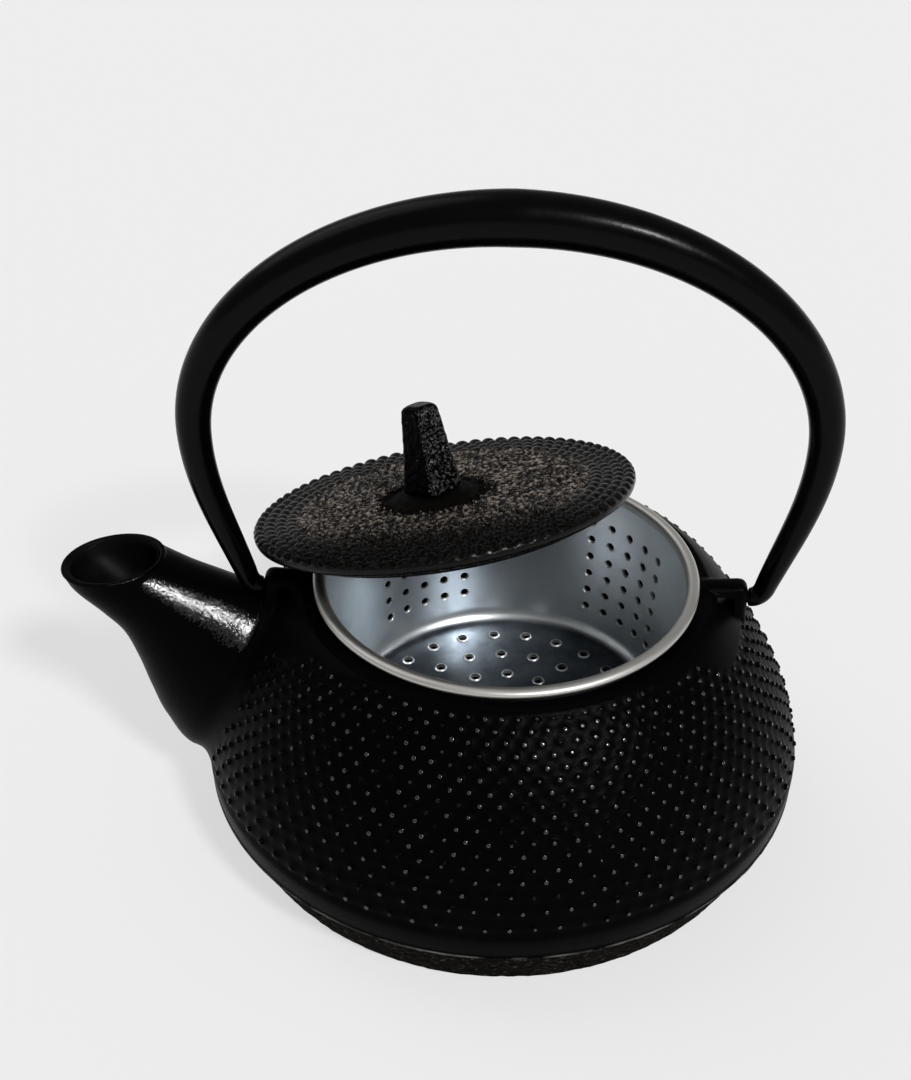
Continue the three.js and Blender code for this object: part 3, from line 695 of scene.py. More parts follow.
def spout_rings(wall_share, sides, steps_between):
    """Rings of the spout's outside, or of its bore where the whole wall is taken off."""
    path = spout_path(steps_between)
    low = np.stack([-(BELLY_RADIUS + path[:, 0]), NECK_HEIGHT - path[:, 1]], -1)
    high = np.stack([-(BELLY_RADIUS + path[:, 2]), NECK_HEIGHT - path[:, 3]], -1)
    centre = (low + high) / 2
    along = high - low
    half = np.hypot(*along.T) / 2
    along /= 2 * half[:, None]
    half, across = half - path[:, 5] * wall_share, path[:, 4] - path[:, 5] * wall_share
    lead = np.array([-along[0, 1], along[0, 0]])
    angle = round_angles(sides)

    def ring(middle, direction, deep, wide):
        plane = middle + direction * (deep * np.cos(angle))[:, None]
        return np.stack([plane[:, 0], wide * np.sin(angle), plane[:, 1]], -1)

    bends = np.radians(np.linspace(0, 90, 6))
    rings = []
    if wall_share:
        middle = centre[0] + lead * SPOUT_BORE_OVERRUN
        rings.append(ring(middle, along[0], half[0] + SPOUT_LIP_ROUND, across[0] + SPOUT_LIP_ROUND))
    for bend in bends:
        slide = math.sin(bend) if wall_share else 1 - math.cos(bend)
        inset = SPOUT_LIP_ROUND * (1 - math.sin(bend)) * (-1 if wall_share else 1)
        middle = centre[0] - lead * SPOUT_LIP_ROUND * slide
        rings.append(ring(middle, along[0], half[0] - inset, across[0] - inset))
    rings += [ring(centre[i], along[i], half[i], across[i]) for i in range(2, len(path))]
    return rings


def rounded(corners, radius, steps=4):
    """A plane outline with each corner rounded, to the given radius or each its own."""
    corners = np.asarray(corners, float)
    radii = np.broadcast_to(radius, len(corners))
    outline = []
    for index, corner in enumerate(corners):
        before, after = corners[index - 1] - corner, corners[(index + 1) % len(corners)] - corner
        before, after = before / np.hypot(*before), after / np.hypot(*after)
        opening = math.acos(float(np.clip(before @ after, -1, 1)))
        cut = radii[index] / math.tan(opening / 2)
        outline += list(bezier([corner + before * cut, corner, corner + after * cut], steps))
    return np.array(outline)


def upright_slab(name, outline, thickness, bevel, slots, slot_index):
    """A flat outline in the XZ plane with thickness along Y and rounded rims."""
    steps = np.radians(np.linspace(0, 90, 4))
    layers = [(-thickness / 2 + bevel * (1 - math.sin(s)), bevel * (1 - math.cos(s))) for s in steps[::-1]]
    layers += [(-depth, inset) for depth, inset in layers[::-1]]
    middle = outline.mean(0)
    edges = np.roll(outline, -1, 0) - np.roll(outline, 1, 0)
    normals = np.stack([edges[:, 1], -edges[:, 0]], -1)
    normals /= np.hypot(*normals.T)[:, None]
    if ((outline - middle) * normals).sum() < 0:
        normals = -normals
    rings = []
    for depth, inset in layers:
        plane = outline - normals * (inset if bevel else 0)
        rings.append(np.column_stack([plane[:, 0], np.full(len(plane), depth), plane[:, 1]]))
    return solid(name, loft(rings), slots, slot_index)


def ear_outline():
    """Outline of the right ear, its lower inner side buried in the shoulder."""
    low = EAR_TOP - EAR_DROP
    corners = [(EAR_INNER, EAR_TOP), (EAR_INNER, NECK_HEIGHT - POT_WALL / 2)]
    corners += [(EAR_OUTER - EAR_LEG, low), (EAR_OUTER, low), (EAR_OUTER, EAR_TOP)]
    return rounded(corners, [0.5, 0.2, 0.2, 0.2, EAR_CORNER], 6)


def turned_about(piece):
    """The same piece on the other side of the Z axis."""
    twin = linked(piece.name, piece.data.copy())
    twin.data.transform(Matrix.Rotation(math.pi, 4, "Z"))
    return twin


def cavity_solid(slots):
    """The space inside the pot, open through the neck bore."""
    inside = PROFILE - PROFILE_NORMAL * POT_WALL
    keep = (TRAVEL > PARTING_TRAVEL) & (inside[:, 0] > NECK_BORE) & (inside[:, 1] < NECK_HEIGHT - POT_WALL)
    side = inside[keep][::40]
    slope = (BELLY_RADIUS - PARTING_INSET - BASE_RADIUS) / PARTING_HEIGHT
    corner = (side[0, 0] - slope * (side[0, 1] - POT_FLOOR), POT_FLOOR)
    floor = rounded([(0.5, POT_FLOOR), corner, tuple(side[0])], [0.01, 6.0, 0.01], 6)[7:14]
    outline = [(0.5, POT_FLOOR), *floor, *side[1:]]
    outline += [(NECK_BORE, side[-1, 1] + 1), (NECK_BORE, NECK_HEIGHT + 1)]
    return solid("cavity", lathe(outline, 128), slots, ENAMEL)


def pin_hole():
    """Round tool for the hole of the bail's pin in the right ear."""
    length = EAR_LEG + EAR_WINDOW / 2
    start = EAR_OUTER - EAR_LEG - PIN_CLEARANCE
    points, faces = lathe([(PIN_HOLE_RADIUS, start), (PIN_HOLE_RADIUS, start + length)], 24)
    return solid("pin_hole", (points[:, [2, 1, 0]] + [0, 0, PIVOT_HEIGHT], faces))


def outwards(places):
    """Rough outward directions of places on the belly."""
    away = places - [0, 0, BELLY_HEIGHT - BELLY_RADIUS * 0.25]
    return away / np.linalg.norm(away, axis=1)[:, None]


def polish_pot(pot, tops, wear):
    """Paints highlights with gloss: glossy tops on hobnails that face the key lamp, and grains along the
    upper front of the spout where its highlight falls.
    """
    places = KDTree(len(tops))
    for index, place in enumerate(tops):
        places.insert(place, index)
    places.balance()
    nearest = (places.find(place) for place in coordinates(pot.data))
    point_value(pot, "wear", [wear[index] if gap < 1 else 0 for _, index, gap in nearest])
    centres, normals, slots = face_values(pot.data)
    tips = np.flatnonzero(slots == HIGHLIT)
    gaps = np.array([places.find(centres[face])[2] for face in tips])
    slots[tips[gaps > PIP_POLISHED]] = IRON
    facing = normals @ (HIGHLIGHT_DIRECTION / np.linalg.norm(HIGHLIGHT_DIRECTION))
    random = np.random.default_rng(SEED + 3)
    # Painted highlight: hobnails facing the key lamp mostly get the glossy tip, the others the dull one
    lit = smooth_step(*NUB_HIGHLIGHT_FACING, outwards(tops) @ HIGHLIGHT_DIRECTION)
    highlit = random.random(len(tops)) < NUB_HIGHLIGHT_SHARES[0] + NUB_HIGHLIGHT_SHARES[1] * lit
    owner = np.array([places.find(centres[face])[1] for face in tips])
    slots[tips[(gaps <= PIP_POLISHED) & ~highlit[owner]]] = DULL
    # Painted highlight: the glossy paint stays only in grains where the spout faces the key lamp's highlight
    along = smooth_step(*SPOUT_HIGHLIGHT_ENDS[:2], centres[:, 0])
    along *= smooth_step(*SPOUT_HIGHLIGHT_ENDS[:1:-1], centres[:, 0])
    share = along * SPOUT_HIGHLIGHT_SHARE * smooth_step(*SPOUT_HIGHLIGHT_FACING, facing)
    slots[(slots == HIGHLIGHT_GLOSS) & (random.random(len(slots)) > share)] = IRON
    pot.data.polygons.foreach_set("material_index", slots)


def make_pot():
    """Body, spout and ears as one casting, with its hobnails, bores and glossy places painted where
    highlights fall.
    """
    highlit, dull = nub_iron("nub_highlit", 0.85), nub_iron("nub_dull", 0.12)
    slots = (pot_iron(), pot_enamel(), highlit, spout_highlight_gloss(), dull)
    pot = pot_skin_solid(slots)
    spout = solid("spout", loft(spout_rings(0, 200, 26)), slots, HIGHLIGHT_GLOSS)
    ear = upright_slab("ear", ear_outline(), EAR_THICKNESS, EAR_BEVEL, slots, HIGHLIGHT_GLOSS)
    far_ear = turned_about(ear)
    skin_tree, spout_tree = surface_tree(pot), surface_tree(spout)
    ear_trees = [surface_tree(ear), surface_tree(far_ear)]
    for tool in (spout, ear, far_ear):
        combine(pot, tool, "UNION")
    # Distances are slow to find, so they are found only for points round the spout and the ears
    points = coordinates(pot.data)
    near = (np.abs(points[:, 1]) < 24) & (points[:, 0] < -20)
    soften(pot, seam_weights(points, near, (spout_tree, skin_tree), SPOUT_BLEND), SPOUT_BLEND_ROUNDS)
    points = coordinates(pot.data)
    weights = np.zeros(len(points))
    for tree, sign in zip(ear_trees, (1, -1)):
        near = (np.abs(points[:, 1]) < 6) & (points[:, 0] * sign > 32) & (points[:, 2] > 36)
        weights += seam_weights(points, near, (tree, skin_tree), EAR_BLEND)
    soften(pot, weights, EAR_BLEND_ROUNDS)
    pips, tops, wear = nub_pips()
    combine(pot, solid("pips", pips, slots, HIGHLIT), "UNION")
    combine(pot, cavity_solid(slots), "DIFFERENCE")
    combine(pot, solid("bore", loft(spout_rings(1, 96, 12)), slots, ENAMEL), "DIFFERENCE")
    right, top = EAR_OUTER - EAR_LEG, EAR_TOP - EAR_BAR
    outline = rounded([(right - EAR_WINDOW, top), (right, top - EAR_WINDOW), (right, top)], 0.35, 4)
    window = upright_slab("window", outline, EAR_THICKNESS + POT_WALL, 0, slots, HIGHLIGHT_GLOSS)
    for tool in (window, pin_hole()):
        twin = turned_about(tool)
        combine(pot, tool, "DIFFERENCE")
        combine(pot, twin, "DIFFERENCE")
    polish_pot(pot, tops, wear)
    finish_surface(pot, 62)
    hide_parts("pot_casting")
    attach(pot, "pot")
    return pot


def infuser_steel():
    """Satin pressed stainless sheet with fine drawing lines and faint stains, darker on the cup's floor as
    painted shade.
    """
    look = Shader("infuser_steel", Metallic=1.0)
    squeeze = look.node("ShaderNodeMapping", {"Vector": look.place, "Scale": (0.25, 0.25, 5.0)}).outputs[0]
    lines = look.noise(1.6, place=squeeze)
    stain = look.spread(look.noise(6.0, 4.0, 0.6), 0.3, 0.7)
    skin = look.mix(stain, (0.80, 0.83, 0.84), (0.88, 0.90, 0.905))
    # Painted shade: the cup's floor is much darker than the wall
    floor = look.spread(look.height(), (CUP_FLOOR_HEIGHT + 1.6) * MM, (CUP_FLOOR_HEIGHT + 0.5) * MM)
    skin = look.mix(floor, skin, look.mix(stain, (0.11, 0.135, 0.165), (0.24, 0.27, 0.305)))
    rim = look.spread(look.height(), (RIM_HEIGHT - 1.1) * MM, (RIM_HEIGHT - 0.7) * MM)
    skin = look.mix(rim, skin, (0.62, 0.61, 0.58))
    roughness = look.math("ADD", look.spread(lines, 0.3, 0.7, 0.31, 0.36), look.math("MULTIPLY", rim, 0.12))
    return look.feed(Base_Color=skin, Roughness=roughness, Normal=look.bump(lines, 0.006, 0.5))


def punched_steel():
    """Bright edges of the punched holes."""
    look = Shader("punched_steel", Metallic=1.0)
    stain = look.noise(1.0, 2.0, 0.5)
    skin = look.mix(stain, (0.86, 0.88, 0.88), (0.97, 0.98, 0.98))
    return look.feed(Base_Color=skin, Roughness=look.spread(stain, 0.3, 0.7, 0.35, 0.5))


def cup_outline():
    """Closed section of the cup: floor, cove, wall, rolled rim, and back down the outside."""
    cove_top = CUP_FLOOR_HEIGHT + CUP_COVE
    centre = (CUP_FLOOR_RADIUS - CUP_COVE, cove_top)
    middle = RIM_RADIUS - RIM_WIDTH / 2
    outside = CUP_COVE + CUP_WALL
    wall_low = cove_top + 0.4
    return np.vstack(
        [
            [(0.4, CUP_FLOOR_HEIGHT - CUP_WALL)],
            arc(centre, (outside, outside), -90, 0, 10),
            bezier([(CUP_FLOOR_RADIUS + CUP_WALL, wall_low), (CUP_RADIUS + CUP_WALL, RIM_HEIGHT - 1.6)], 16),
            arc((middle, RIM_HEIGHT), (RIM_WIDTH / 2, RIM_THICKNESS / 2), -120, 180, 24),
            bezier([(CUP_RADIUS, RIM_HEIGHT - 0.4), (CUP_FLOOR_RADIUS, wall_low)], 18),
            arc(centre, (CUP_COVE, CUP_COVE), 0, -90, 10),
            [(0.4, CUP_FLOOR_HEIGHT)],
        ]
    )


def floor_hole_places():
    """Centres of the floor holes: one at the middle and rings round it."""
    places = []
    for ring in range(FLOOR_RINGS + 1):
        count = max(1, ring * FLOOR_RING_STEP)
        for copy in range(count):
            angle = copy / count * 2 * math.pi + math.radians(FLOOR_RING_TURNS[ring])
            reach = ring * FLOOR_RING_PITCH
            places.append((reach * math.cos(angle), reach * math.sin(angle)))
    return places


def merged(skins):
    """Several separate skins as one."""
    points, faces, start = [], [], 0
    for part_points, part_faces in skins:
        points.append(part_points)
        faces += [[corner + start for corner in face] for face in part_faces]
        start += len(part_points)
    return np.vstack(points), faces


def wall_punches():
    """Round tools through the cup's wall."""
    skins = []
    end = CUP_RADIUS + 2
    low, high = CUP_FLOOR_HEIGHT + CUP_COVE, RIM_HEIGHT
    for patch in WALL_HOLE_PATCHES:
        for column in range(WALL_HOLE_COLUMNS):
            offset = (column - (WALL_HOLE_COLUMNS - 1) / 2) * WALL_HOLE_COLUMN_ANGLE
            angle = math.radians(90 - patch - offset)
            turn = np.array(Matrix.Rotation(angle, 3, "Z"))
            for row in range(WALL_HOLE_ROWS):
                level = CUP_FLOOR_HEIGHT + WALL_HOLE_FIRST_ROW + row * WALL_HOLE_ROW_PITCH
                inside = np.interp(level, [low, high], [CUP_FLOOR_RADIUS, CUP_RADIUS])
                cone = (WALL_HOLE_RADIUS + 3 * HOLE_CHAMFER, inside - 2 * HOLE_CHAMFER)
                tool = [cone, (WALL_HOLE_RADIUS, inside + HOLE_CHAMFER), (WALL_HOLE_RADIUS, end)]
                points, faces = lathe(tool, 20)
                skins.append(((points[:, [2, 1, 0]] + [0, 0, level]) @ turn.T, faces))
    return merged(skins)


def floor_punches(outline):
    """The same round tool at each hole of the floor."""
    points, faces = lathe(outline, 24)
    return merged([(points + [x, y, 0], faces) for x, y in floor_hole_places()])


def make_infuser():
    """The cup, with bright raised edges round its floor holes and chamfered holes in its wall."""
    slots = (infuser_steel(), punched_steel())
    infuser = solid("infuser", lathe(cup_outline(), 144), slots)
    wide = FLOOR_HOLE_RADIUS + PUNCH_RIM_WIDTH
    rims = [(wide, CUP_FLOOR_HEIGHT - 0.2), (wide, CUP_FLOOR_HEIGHT + 0.02)]
    for out, up in ((0.55, 0.85), (0.2, 1.0)):
        place = (FLOOR_HOLE_RADIUS + PUNCH_RIM_WIDTH * out, CUP_FLOOR_HEIGHT + PUNCH_RIM_HEIGHT * up)
        rims.append(place)
    rims.append((FLOOR_HOLE_RADIUS * 0.9, CUP_FLOOR_HEIGHT + PUNCH_RIM_HEIGHT * 0.9))
    combine(infuser, solid("rims", floor_punches(rims), slots, 1), "UNION")
    tools = [(FLOOR_HOLE_RADIUS, CUP_FLOOR_HEIGHT - 2), (FLOOR_HOLE_RADIUS, CUP_FLOOR_HEIGHT + 1)]
    combine(infuser, solid("floor_punches", floor_punches(tools), slots, 1), "DIFFERENCE")
    combine(infuser, solid("wall_punches", wall_punches(), slots, 1), "DIFFERENCE")
    finish_surface(infuser, 40)
    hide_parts("infuser_basket")
    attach(infuser, "infuser")
    return infuser


def lid_place():
    """Turn and place of the tipped lid, its underside just clear of the infuser's rim."""
    tilt, heading = math.radians(LID_TILT), math.radians(LID_HEADING)
    normal = Vector((math.sin(tilt) * math.cos(heading), math.sin(tilt) * math.sin(heading), math.cos(tilt)))
    reach = (RIM_RADIUS - RIM_WIDTH / 2) * math.sin(tilt) + RIM_HEIGHT * math.cos(tilt)
    reach += math.hypot(RIM_WIDTH / 2 * math.sin(tilt), RIM_THICKNESS / 2 * math.cos(tilt))
    level = reach + SEAT_GAP + LID_THICKNESS
    height = (level + normal.x * LID_SHIFT_LEFT - normal.y * LID_SHIFT_BACK) / normal.z
    turn = Vector((0, 0, 1)).rotation_difference(normal).to_matrix()
    return np.array(turn), np.array([-LID_SHIFT_LEFT, LID_SHIFT_BACK, height])


LID_AXES, LID_ORIGIN = lid_place()


def on_lid(skin):
    """Moves a skin about the lid's own axis to where the lid lies."""
    points, faces = skin
    return np.asarray(points) @ LID_AXES.T + LID_ORIGIN, faces


def by_knob(skin):
    """Moves a skin about the knob's axis to where the knob stands on the lid."""
    points, faces = skin
    return on_lid((points - [KNOB_OFFSET, 0, 0], faces))


def lid_plain(name, specular, low, high):
    """Plain black iron, with a specular level and the low and high roughness of its grain."""
    look = Shader(name, Specular_IOR_Level=specular)
    grain = look.noise(0.6)
    skin = look.mix(grain, (0.0008, 0.0007, 0.0006), (0.0035, 0.0028, 0.0023))
    return look.grained(skin, grain, low, high, look.bump(grain, 0.1, 0.7))


def lid_iron():
    """Brown-black iron whose pitted crests are painted paler as highlights, with painted shade along the
    front that darkens them and makes the iron duller.
    """
    look = Shader("lid_iron", Specular_IOR_Level=0.13)
    grain = look.noise(0.5)
    blotch = look.noise(6.0, 4.0, 0.6)
    pits = look.noise(0.75)
    shade = look.value("shade")
    crest_highlight = look.math("MULTIPLY", look.value("crest_highlight"), look.spread(pits, 0.44, 0.56))
    crest_highlight = look.math("MULTIPLY", crest_highlight, look.math("SUBTRACT", 1.0, shade))
    skin = look.mix(blotch, (0.001, 0.0008, 0.0007), (0.0035, 0.0027, 0.0022))
    skin = look.mix(crest_highlight, skin, (0.3, 0.25, 0.21))
    roughness = look.spread(grain, 0.3, 0.7, 0.24, 0.34)
    roughness = look.math("ADD", roughness, look.math("MULTIPLY", shade, 0.4))
    normal = look.bump(grain, 0.1, 0.7)
    return look.feed(Base_Color=skin, Roughness=roughness, Normal=look.bump(pits, 0.3, 0.5, normal))


def lid_top_height(radius, turn):
    """Height of the lid's top over its plane, and the share of painted crest highlight at each place, by
    radius and turn.
    """
    random = np.random.default_rng(SEED + 1)
    jitter = random.normal(0, 0.05, (LID_NUB_ROWS, LID_NUBS_AROUND, 2))
    spots = np.column_stack([radius * np.cos(turn), radius * np.sin(turn), np.zeros_like(radius)])
    inner = LID_NUB_FIRST_RADIUS - (LID_NUB_ROWS - 0.3) * LID_NUB_ROW_PITCH
    coarse, fine = (rough(spots, *wave) for wave in LID_WRINKLE_WAVES)
    wrinkle = 1 - np.abs(coarse) * 2.8 + 0.6 * fine
    from_knob = np.hypot(spots[:, 0] + KNOB_OFFSET, spots[:, 1])
    boss = smooth_step(LID_BOSS_RADIUS + 2 * LID_BOSS_RISE, LID_BOSS_RADIUS, from_knob)
    sandy = smooth_step(inner + 1.2, inner - 0.4, radius)
    sandy *= smooth_step(LID_BOSS_RADIUS + 1, LID_BOSS_RADIUS + 4, from_knob)
    height = sandy * (np.clip(wrinkle, 0, 1.2) - 1) * LID_WRINKLE + boss * LID_BOSS_RISE
    crest_highlight = sandy * smooth_step(0.55, 1.0, wrinkle)
    border = smooth_step(inner - 0.3, inner + 1.0, radius)
    nub = np.zeros_like(radius)
    for row in range(LID_NUB_ROWS):
        count = turn / (2 * math.pi) * LID_NUBS_AROUND - 0.5 * (row % 2)
        index = np.round(count).astype(int)
        column = index % LID_NUBS_AROUND
        across = (count - index) / LID_NUBS_AROUND * 2 * math.pi * radius + jitter[row, column, 0]
        along = radius - LID_NUB_FIRST_RADIUS + row * LID_NUB_ROW_PITCH + jitter[row, column, 1]
        reach = np.hypot(across / LID_NUB_WIDTH, along / LID_NUB_DEPTH)
        nub = np.maximum(nub, np.clip(1 - reach**2, 0, 1) ** 0.75)
    height -= border * (1 - nub) * LID_NUB_HEIGHT
    # Painted highlight: the tops of the border's nubs are a little paler
    crest_highlight = np.maximum(crest_highlight, border * smooth_step(0.8, 1, nub) * 0.1)
    return height, crest_highlight


def lid_painted_shade(places):
    """Shares of painted shade round the knob and along the lid's front, by place on the lid in mm."""
    from_knob = np.hypot(places[:, 0] + KNOB_OFFSET, places[:, 1])
    boss = smooth_step(*(LID_BOSS_RADIUS + past for past in LID_BOSS_SHADE), from_knob)
    return boss, smooth_step(*LID_FRONT_SHADE, -places[:, 1])


def make_lid():
    """Disc with a hobnailed border and a spigot ring, sandy on top and glossy round its side."""
    # The plain copy is the dark, dull iron of the painted shade; the band copy is the glossy side
    plain, band = lid_plain("lid_plain", 0.025, 0.65, 0.85), lid_plain("lid_band", 0.14, 0.2, 0.32)
    slots = (lid_iron(), plain, band)
    sides = LID_NUBS_AROUND * 8
    turns = round_angles(sides)
    border = np.linspace(LID_RADIUS - 0.35, LID_BORDER_END, 36)
    inside = np.arange(LID_BORDER_END - LID_MESH_STEP, LID_HUB_RADIUS, -LID_MESH_STEP)
    radius, turn = np.meshgrid(np.concatenate([border, inside]), turns, indexing="ij")
    height, crest_highlight = lid_top_height(radius.ravel(), turn.ravel())
    top = np.stack([radius * np.cos(turn), radius * np.sin(turn), height.reshape(radius.shape)], -1)
    top[..., 2] -= LID_EDGE_DROP * smooth_step(LID_RADIUS - LID_EDGE, LID_RADIUS, radius) ** 2
    low = -LID_THICKNESS
    ring = np.stack([np.cos(turns), np.sin(turns)], -1)
    scallop = 1 + LID_SCALLOP * np.cos(LID_NUBS_AROUND * turns)

    def level(reach, z):
        """One ring of the side or underside."""
        return np.column_stack([ring * reach, np.full(sides, z)])

    side = [level(LID_RADIUS, z) for z in (-0.95, -1.3, -1.7)]
    side[0][:, :2] *= scallop[:, None] / scallop.max()
    spigot_low, spigot_inside = low - SPIGOT_DEPTH, SPIGOT_RADIUS - SPIGOT_WALL
    under = [
        (LID_RADIUS - 0.25, low + 0.45),
        (LID_RADIUS - LID_EDGE, low),
        (SPIGOT_RADIUS + 0.2, low),
        (SPIGOT_RADIUS, low - 0.2),
        (SPIGOT_RADIUS, spigot_low + 0.3),
        (SPIGOT_RADIUS - 0.3, spigot_low),
        (spigot_inside + 0.3, spigot_low),
        (spigot_inside, spigot_low + 0.3),
        (spigot_inside, low - 0.4),
        (spigot_inside - 0.4, low),
    ]
    rings = [*(level(*place) for place in under[::-1]), *side[::-1], *top]
    lid = solid("lid", on_lid(loft(rings)), slots)
    first = len(under) + len(side)
    # Painted highlight on the crests, for the points of the top
    values = np.zeros(len(lid.data.vertices))
    values[first * sides : first * sides + len(crest_highlight)] = crest_highlight
    point_value(lid, "crest_highlight", values)
    # Painted shade: the front darkens and dulls
    point_value(lid, "shade", lid_painted_shade((coordinates(lid.data) - LID_ORIGIN) @ LID_AXES)[1])
    places = (face_values(lid.data)[0] - LID_ORIGIN) @ LID_AXES
    boss, front = lid_painted_shade(places)
    # Painted shade: the dark, dull iron is scattered round the knob and over part of the front
    painted_dark = np.random.default_rng(SEED + 2).random(len(places)) < np.maximum(boss, 0.6 * front)
    band = (np.hypot(places[:, 0], places[:, 1]) > LID_RADIUS - 0.45) | (places[:, 2] < -0.9)
    lid.data.polygons.foreach_set("material_index", np.where(band, 2, painted_dark).astype(np.int32))
    bore = STEM_RADIUS + STEM_CLEARANCE
    hole = lathe([(bore, -2 * LID_THICKNESS), (bore, 2 * LID_THICKNESS)], 40)
    combine(lid, solid("stem_hole", by_knob(hole)), "DIFFERENCE")
    finish_surface(lid, 62)
    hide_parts("lid_casting")
    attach(lid, "lid")
    return lid


def knob_iron(name, specular, bump, crest_highlight):
    """Grainy black iron of the knob; the copy with pale grains paints glints where the knob faces the key
    lamp.
    """
    look = Shader(name, Specular_IOR_Level=specular)
    grain = look.noise(0.45, 2.0, 0.6)
    pale = (crest_highlight, crest_highlight * 0.9, crest_highlight * 0.87)
    skin = look.mix(look.spread(grain, 0.4, 0.7), (0.0004, 0.0003, 0.0003), pale)
    return look.grained(skin, grain, 0.15, 0.26, look.bump(grain, bump, 0.9))


def square_ring(side, corner, height, sides=128):
    """A square ring with rounded corners, its points even by angle of their corner or run."""
    half = side / 2
    corner = min(corner, half * 0.98)
    straight = half - corner
    share = np.linspace(0, 1, sides // 8 + 1)[:-1]
    bend = np.radians(share * 90)
    curve = np.stack([straight + corner * np.cos(bend), straight + corner * np.sin(bend)], -1)
    run = np.stack([straight - 2 * straight * share, np.full(len(share), half)], -1)
    quarter = np.vstack([curve, run])
    spins = [np.array(Matrix.Rotation(math.radians(90 * turn), 2)) for turn in range(4)]
    plane = np.vstack([quarter @ spin.T for spin in spins])
    return np.column_stack([plane, np.full(len(plane), height)])


def make_knob():
    """Tapered square bud on a round stem that ends in a peened head under the washer."""
    slots = (knob_iron("knob_iron", 0.02, 0.1, 0.001), knob_iron("knob_highlight", 1.0, 0.5, 0.05))
    foot = LID_BOSS_RISE + SEAT_GAP
    washer_low = -LID_THICKNESS - SEAT_GAP - WASHER_THICKNESS
    head = washer_low - SEAT_GAP
    turn = math.radians(KNOB_TURN)
    spin = np.array([[math.cos(turn), math.sin(turn), 0], [-math.sin(turn), math.cos(turn), 0], [0, 0, 1]])

    def stem(radius, height):
        """A round ring with as many points as the square ones."""
        return square_ring(2 * radius, radius, height)

    rings = [
        stem(0.3, head - PEEN_HEIGHT),
        *(stem(r, z) for r, z in arc((0, head - 0.1), (PEEN_RADIUS, PEEN_HEIGHT - 0.1), -75, 0, 8)),
        stem(PEEN_RADIUS - 0.1, head),
        stem(STEM_RADIUS, head),
        stem(STEM_RADIUS, foot),
    ]
    rings.append(square_ring(KNOB_BASE - 0.7, KNOB_CORNER, foot))
    for share in np.linspace(0, 1, 70):
        height = foot + 0.35 + share * (KNOB_HEIGHT - KNOB_CROWN - 0.35)
        waist = KNOB_WAIST * math.sin(math.pi * min(1, share * 1.2))
        side = KNOB_BASE + (KNOB_TOP - KNOB_BASE) * share - waist
        rings.append(square_ring(side, KNOB_CORNER, height))
    for bend in np.radians(np.linspace(15, 90, 7)):
        side = KNOB_TOP - 2 * KNOB_CROWN * (1 - math.cos(bend))
        rings.append(square_ring(side, KNOB_CORNER, foot + KNOB_HEIGHT - KNOB_CROWN * (1 - math.sin(bend))))
    rings.append(square_ring(KNOB_TOP - 3.6, 0.9, foot + KNOB_HEIGHT))
    points, faces = loft(rings)
    points = points @ spin
    relief = sum(deep * rough(points, wave, seed) for wave, deep, seed in KNOB_RELIEF)
    bud = points[:, 2] > foot + 0.2
    axis = points * [1, 1, 0]
    away = axis / np.maximum(np.linalg.norm(axis, axis=1), 0.1)[:, None]
    points = points + away * (relief * bud)[:, None]
    knob = solid("knob", by_knob((points, faces)), slots)
    # Painted glints: faces turned to the key lamp get a share of the pale, glossy grains
    normals = face_values(knob.data)[1]
    lit = smooth_step(*KNOB_HIGHLIGHT_FACING, normals @ KNOB_HIGHLIGHT_DIRECTION)
    share = KNOB_HIGHLIGHT_SHARES[0] + KNOB_HIGHLIGHT_SHARES[1] * lit
    highlit_grains = np.random.default_rng(SEED + 4).random(len(share)) < share
    knob.data.polygons.foreach_set("material_index", highlit_grains.astype(np.int32))
    finish_surface(knob, 50)
    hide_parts("lid_knob")
    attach(knob, "lid")
    return knob


def washer_steel():
    """Plain scratched steel."""
    look = Shader("washer_steel", Metallic=1.0)
    scratch = look.noise(0.8)
    skin = look.mix(scratch, (0.34, 0.34, 0.35), (0.46, 0.46, 0.46))
    return look.grained(skin, scratch, 0.3, 0.5, look.bump(scratch, 0.03, 0.6))


def make_washer():
    """Flat ring under the lid, round the knob's stem."""
    bore = STEM_RADIUS + STEM_CLEARANCE
    top = -LID_THICKNESS - SEAT_GAP
    low = top - WASHER_THICKNESS
    edge = 0.18
    outline = rounded([(bore, low), (WASHER_RADIUS, low), (WASHER_RADIUS, top), (bore, top)], edge, 3)
    washer = solid("washer", by_knob(lathe(outline, 64, closed=True)), (washer_steel(),))
    finish_surface(washer, 50)
    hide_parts("knob_washer")
    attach(washer, "lid")
    return washer


def bail_steel():
    """Smooth satin black coat."""
    look = Shader("bail_steel", Specular_IOR_Level=0.085)
    flow = look.noise(5.0, 3.0, 0.5)
    fine = look.noise(0.6, 2.0, 0.5)
    skin = look.mix(flow, (0.0003, 0.0003, 0.0003), (0.001, 0.001, 0.0011))
    normal = look.bump(flow, 0.18, 0.3)
    return look.grained(skin, flow, 0.2, 0.29, look.bump(fine, 0.03, 0.4, normal))


def bail_half_path():
    """Centre line of the bail's right half from the ear to the crown, about the pivot height."""
    face = EAR_OUTER + PIN_CLEARANCE
    lean = math.radians(BAIL_LEG_LEAN)
    ankle = (face + BAIL_ELBOW, BAIL_ELBOW)
    third = BAIL_SHOULDER_RISE / 3
    elbow = bezier([(face, 0), (ankle[0] - BAIL_ELBOW * math.tan(lean), 0), ankle], 60)
    calf = (ankle[0] + third * math.tan(lean * BAIL_LEG_BOW), ankle[1] + third)
    knee = (BAIL_HALF_SPAN, BAIL_SHOULDER_RISE - third)
    leg = bezier([ankle, calf, knee, (BAIL_HALF_SPAN, BAIL_SHOULDER_RISE)], 200)
    arch = arc((0, BAIL_SHOULDER_RISE), (BAIL_HALF_SPAN, BAIL_CROWN_RISE - BAIL_SHOULDER_RISE), 0, 90, 400)
    return np.vstack([elbow, leg[1:], arch[1:]])


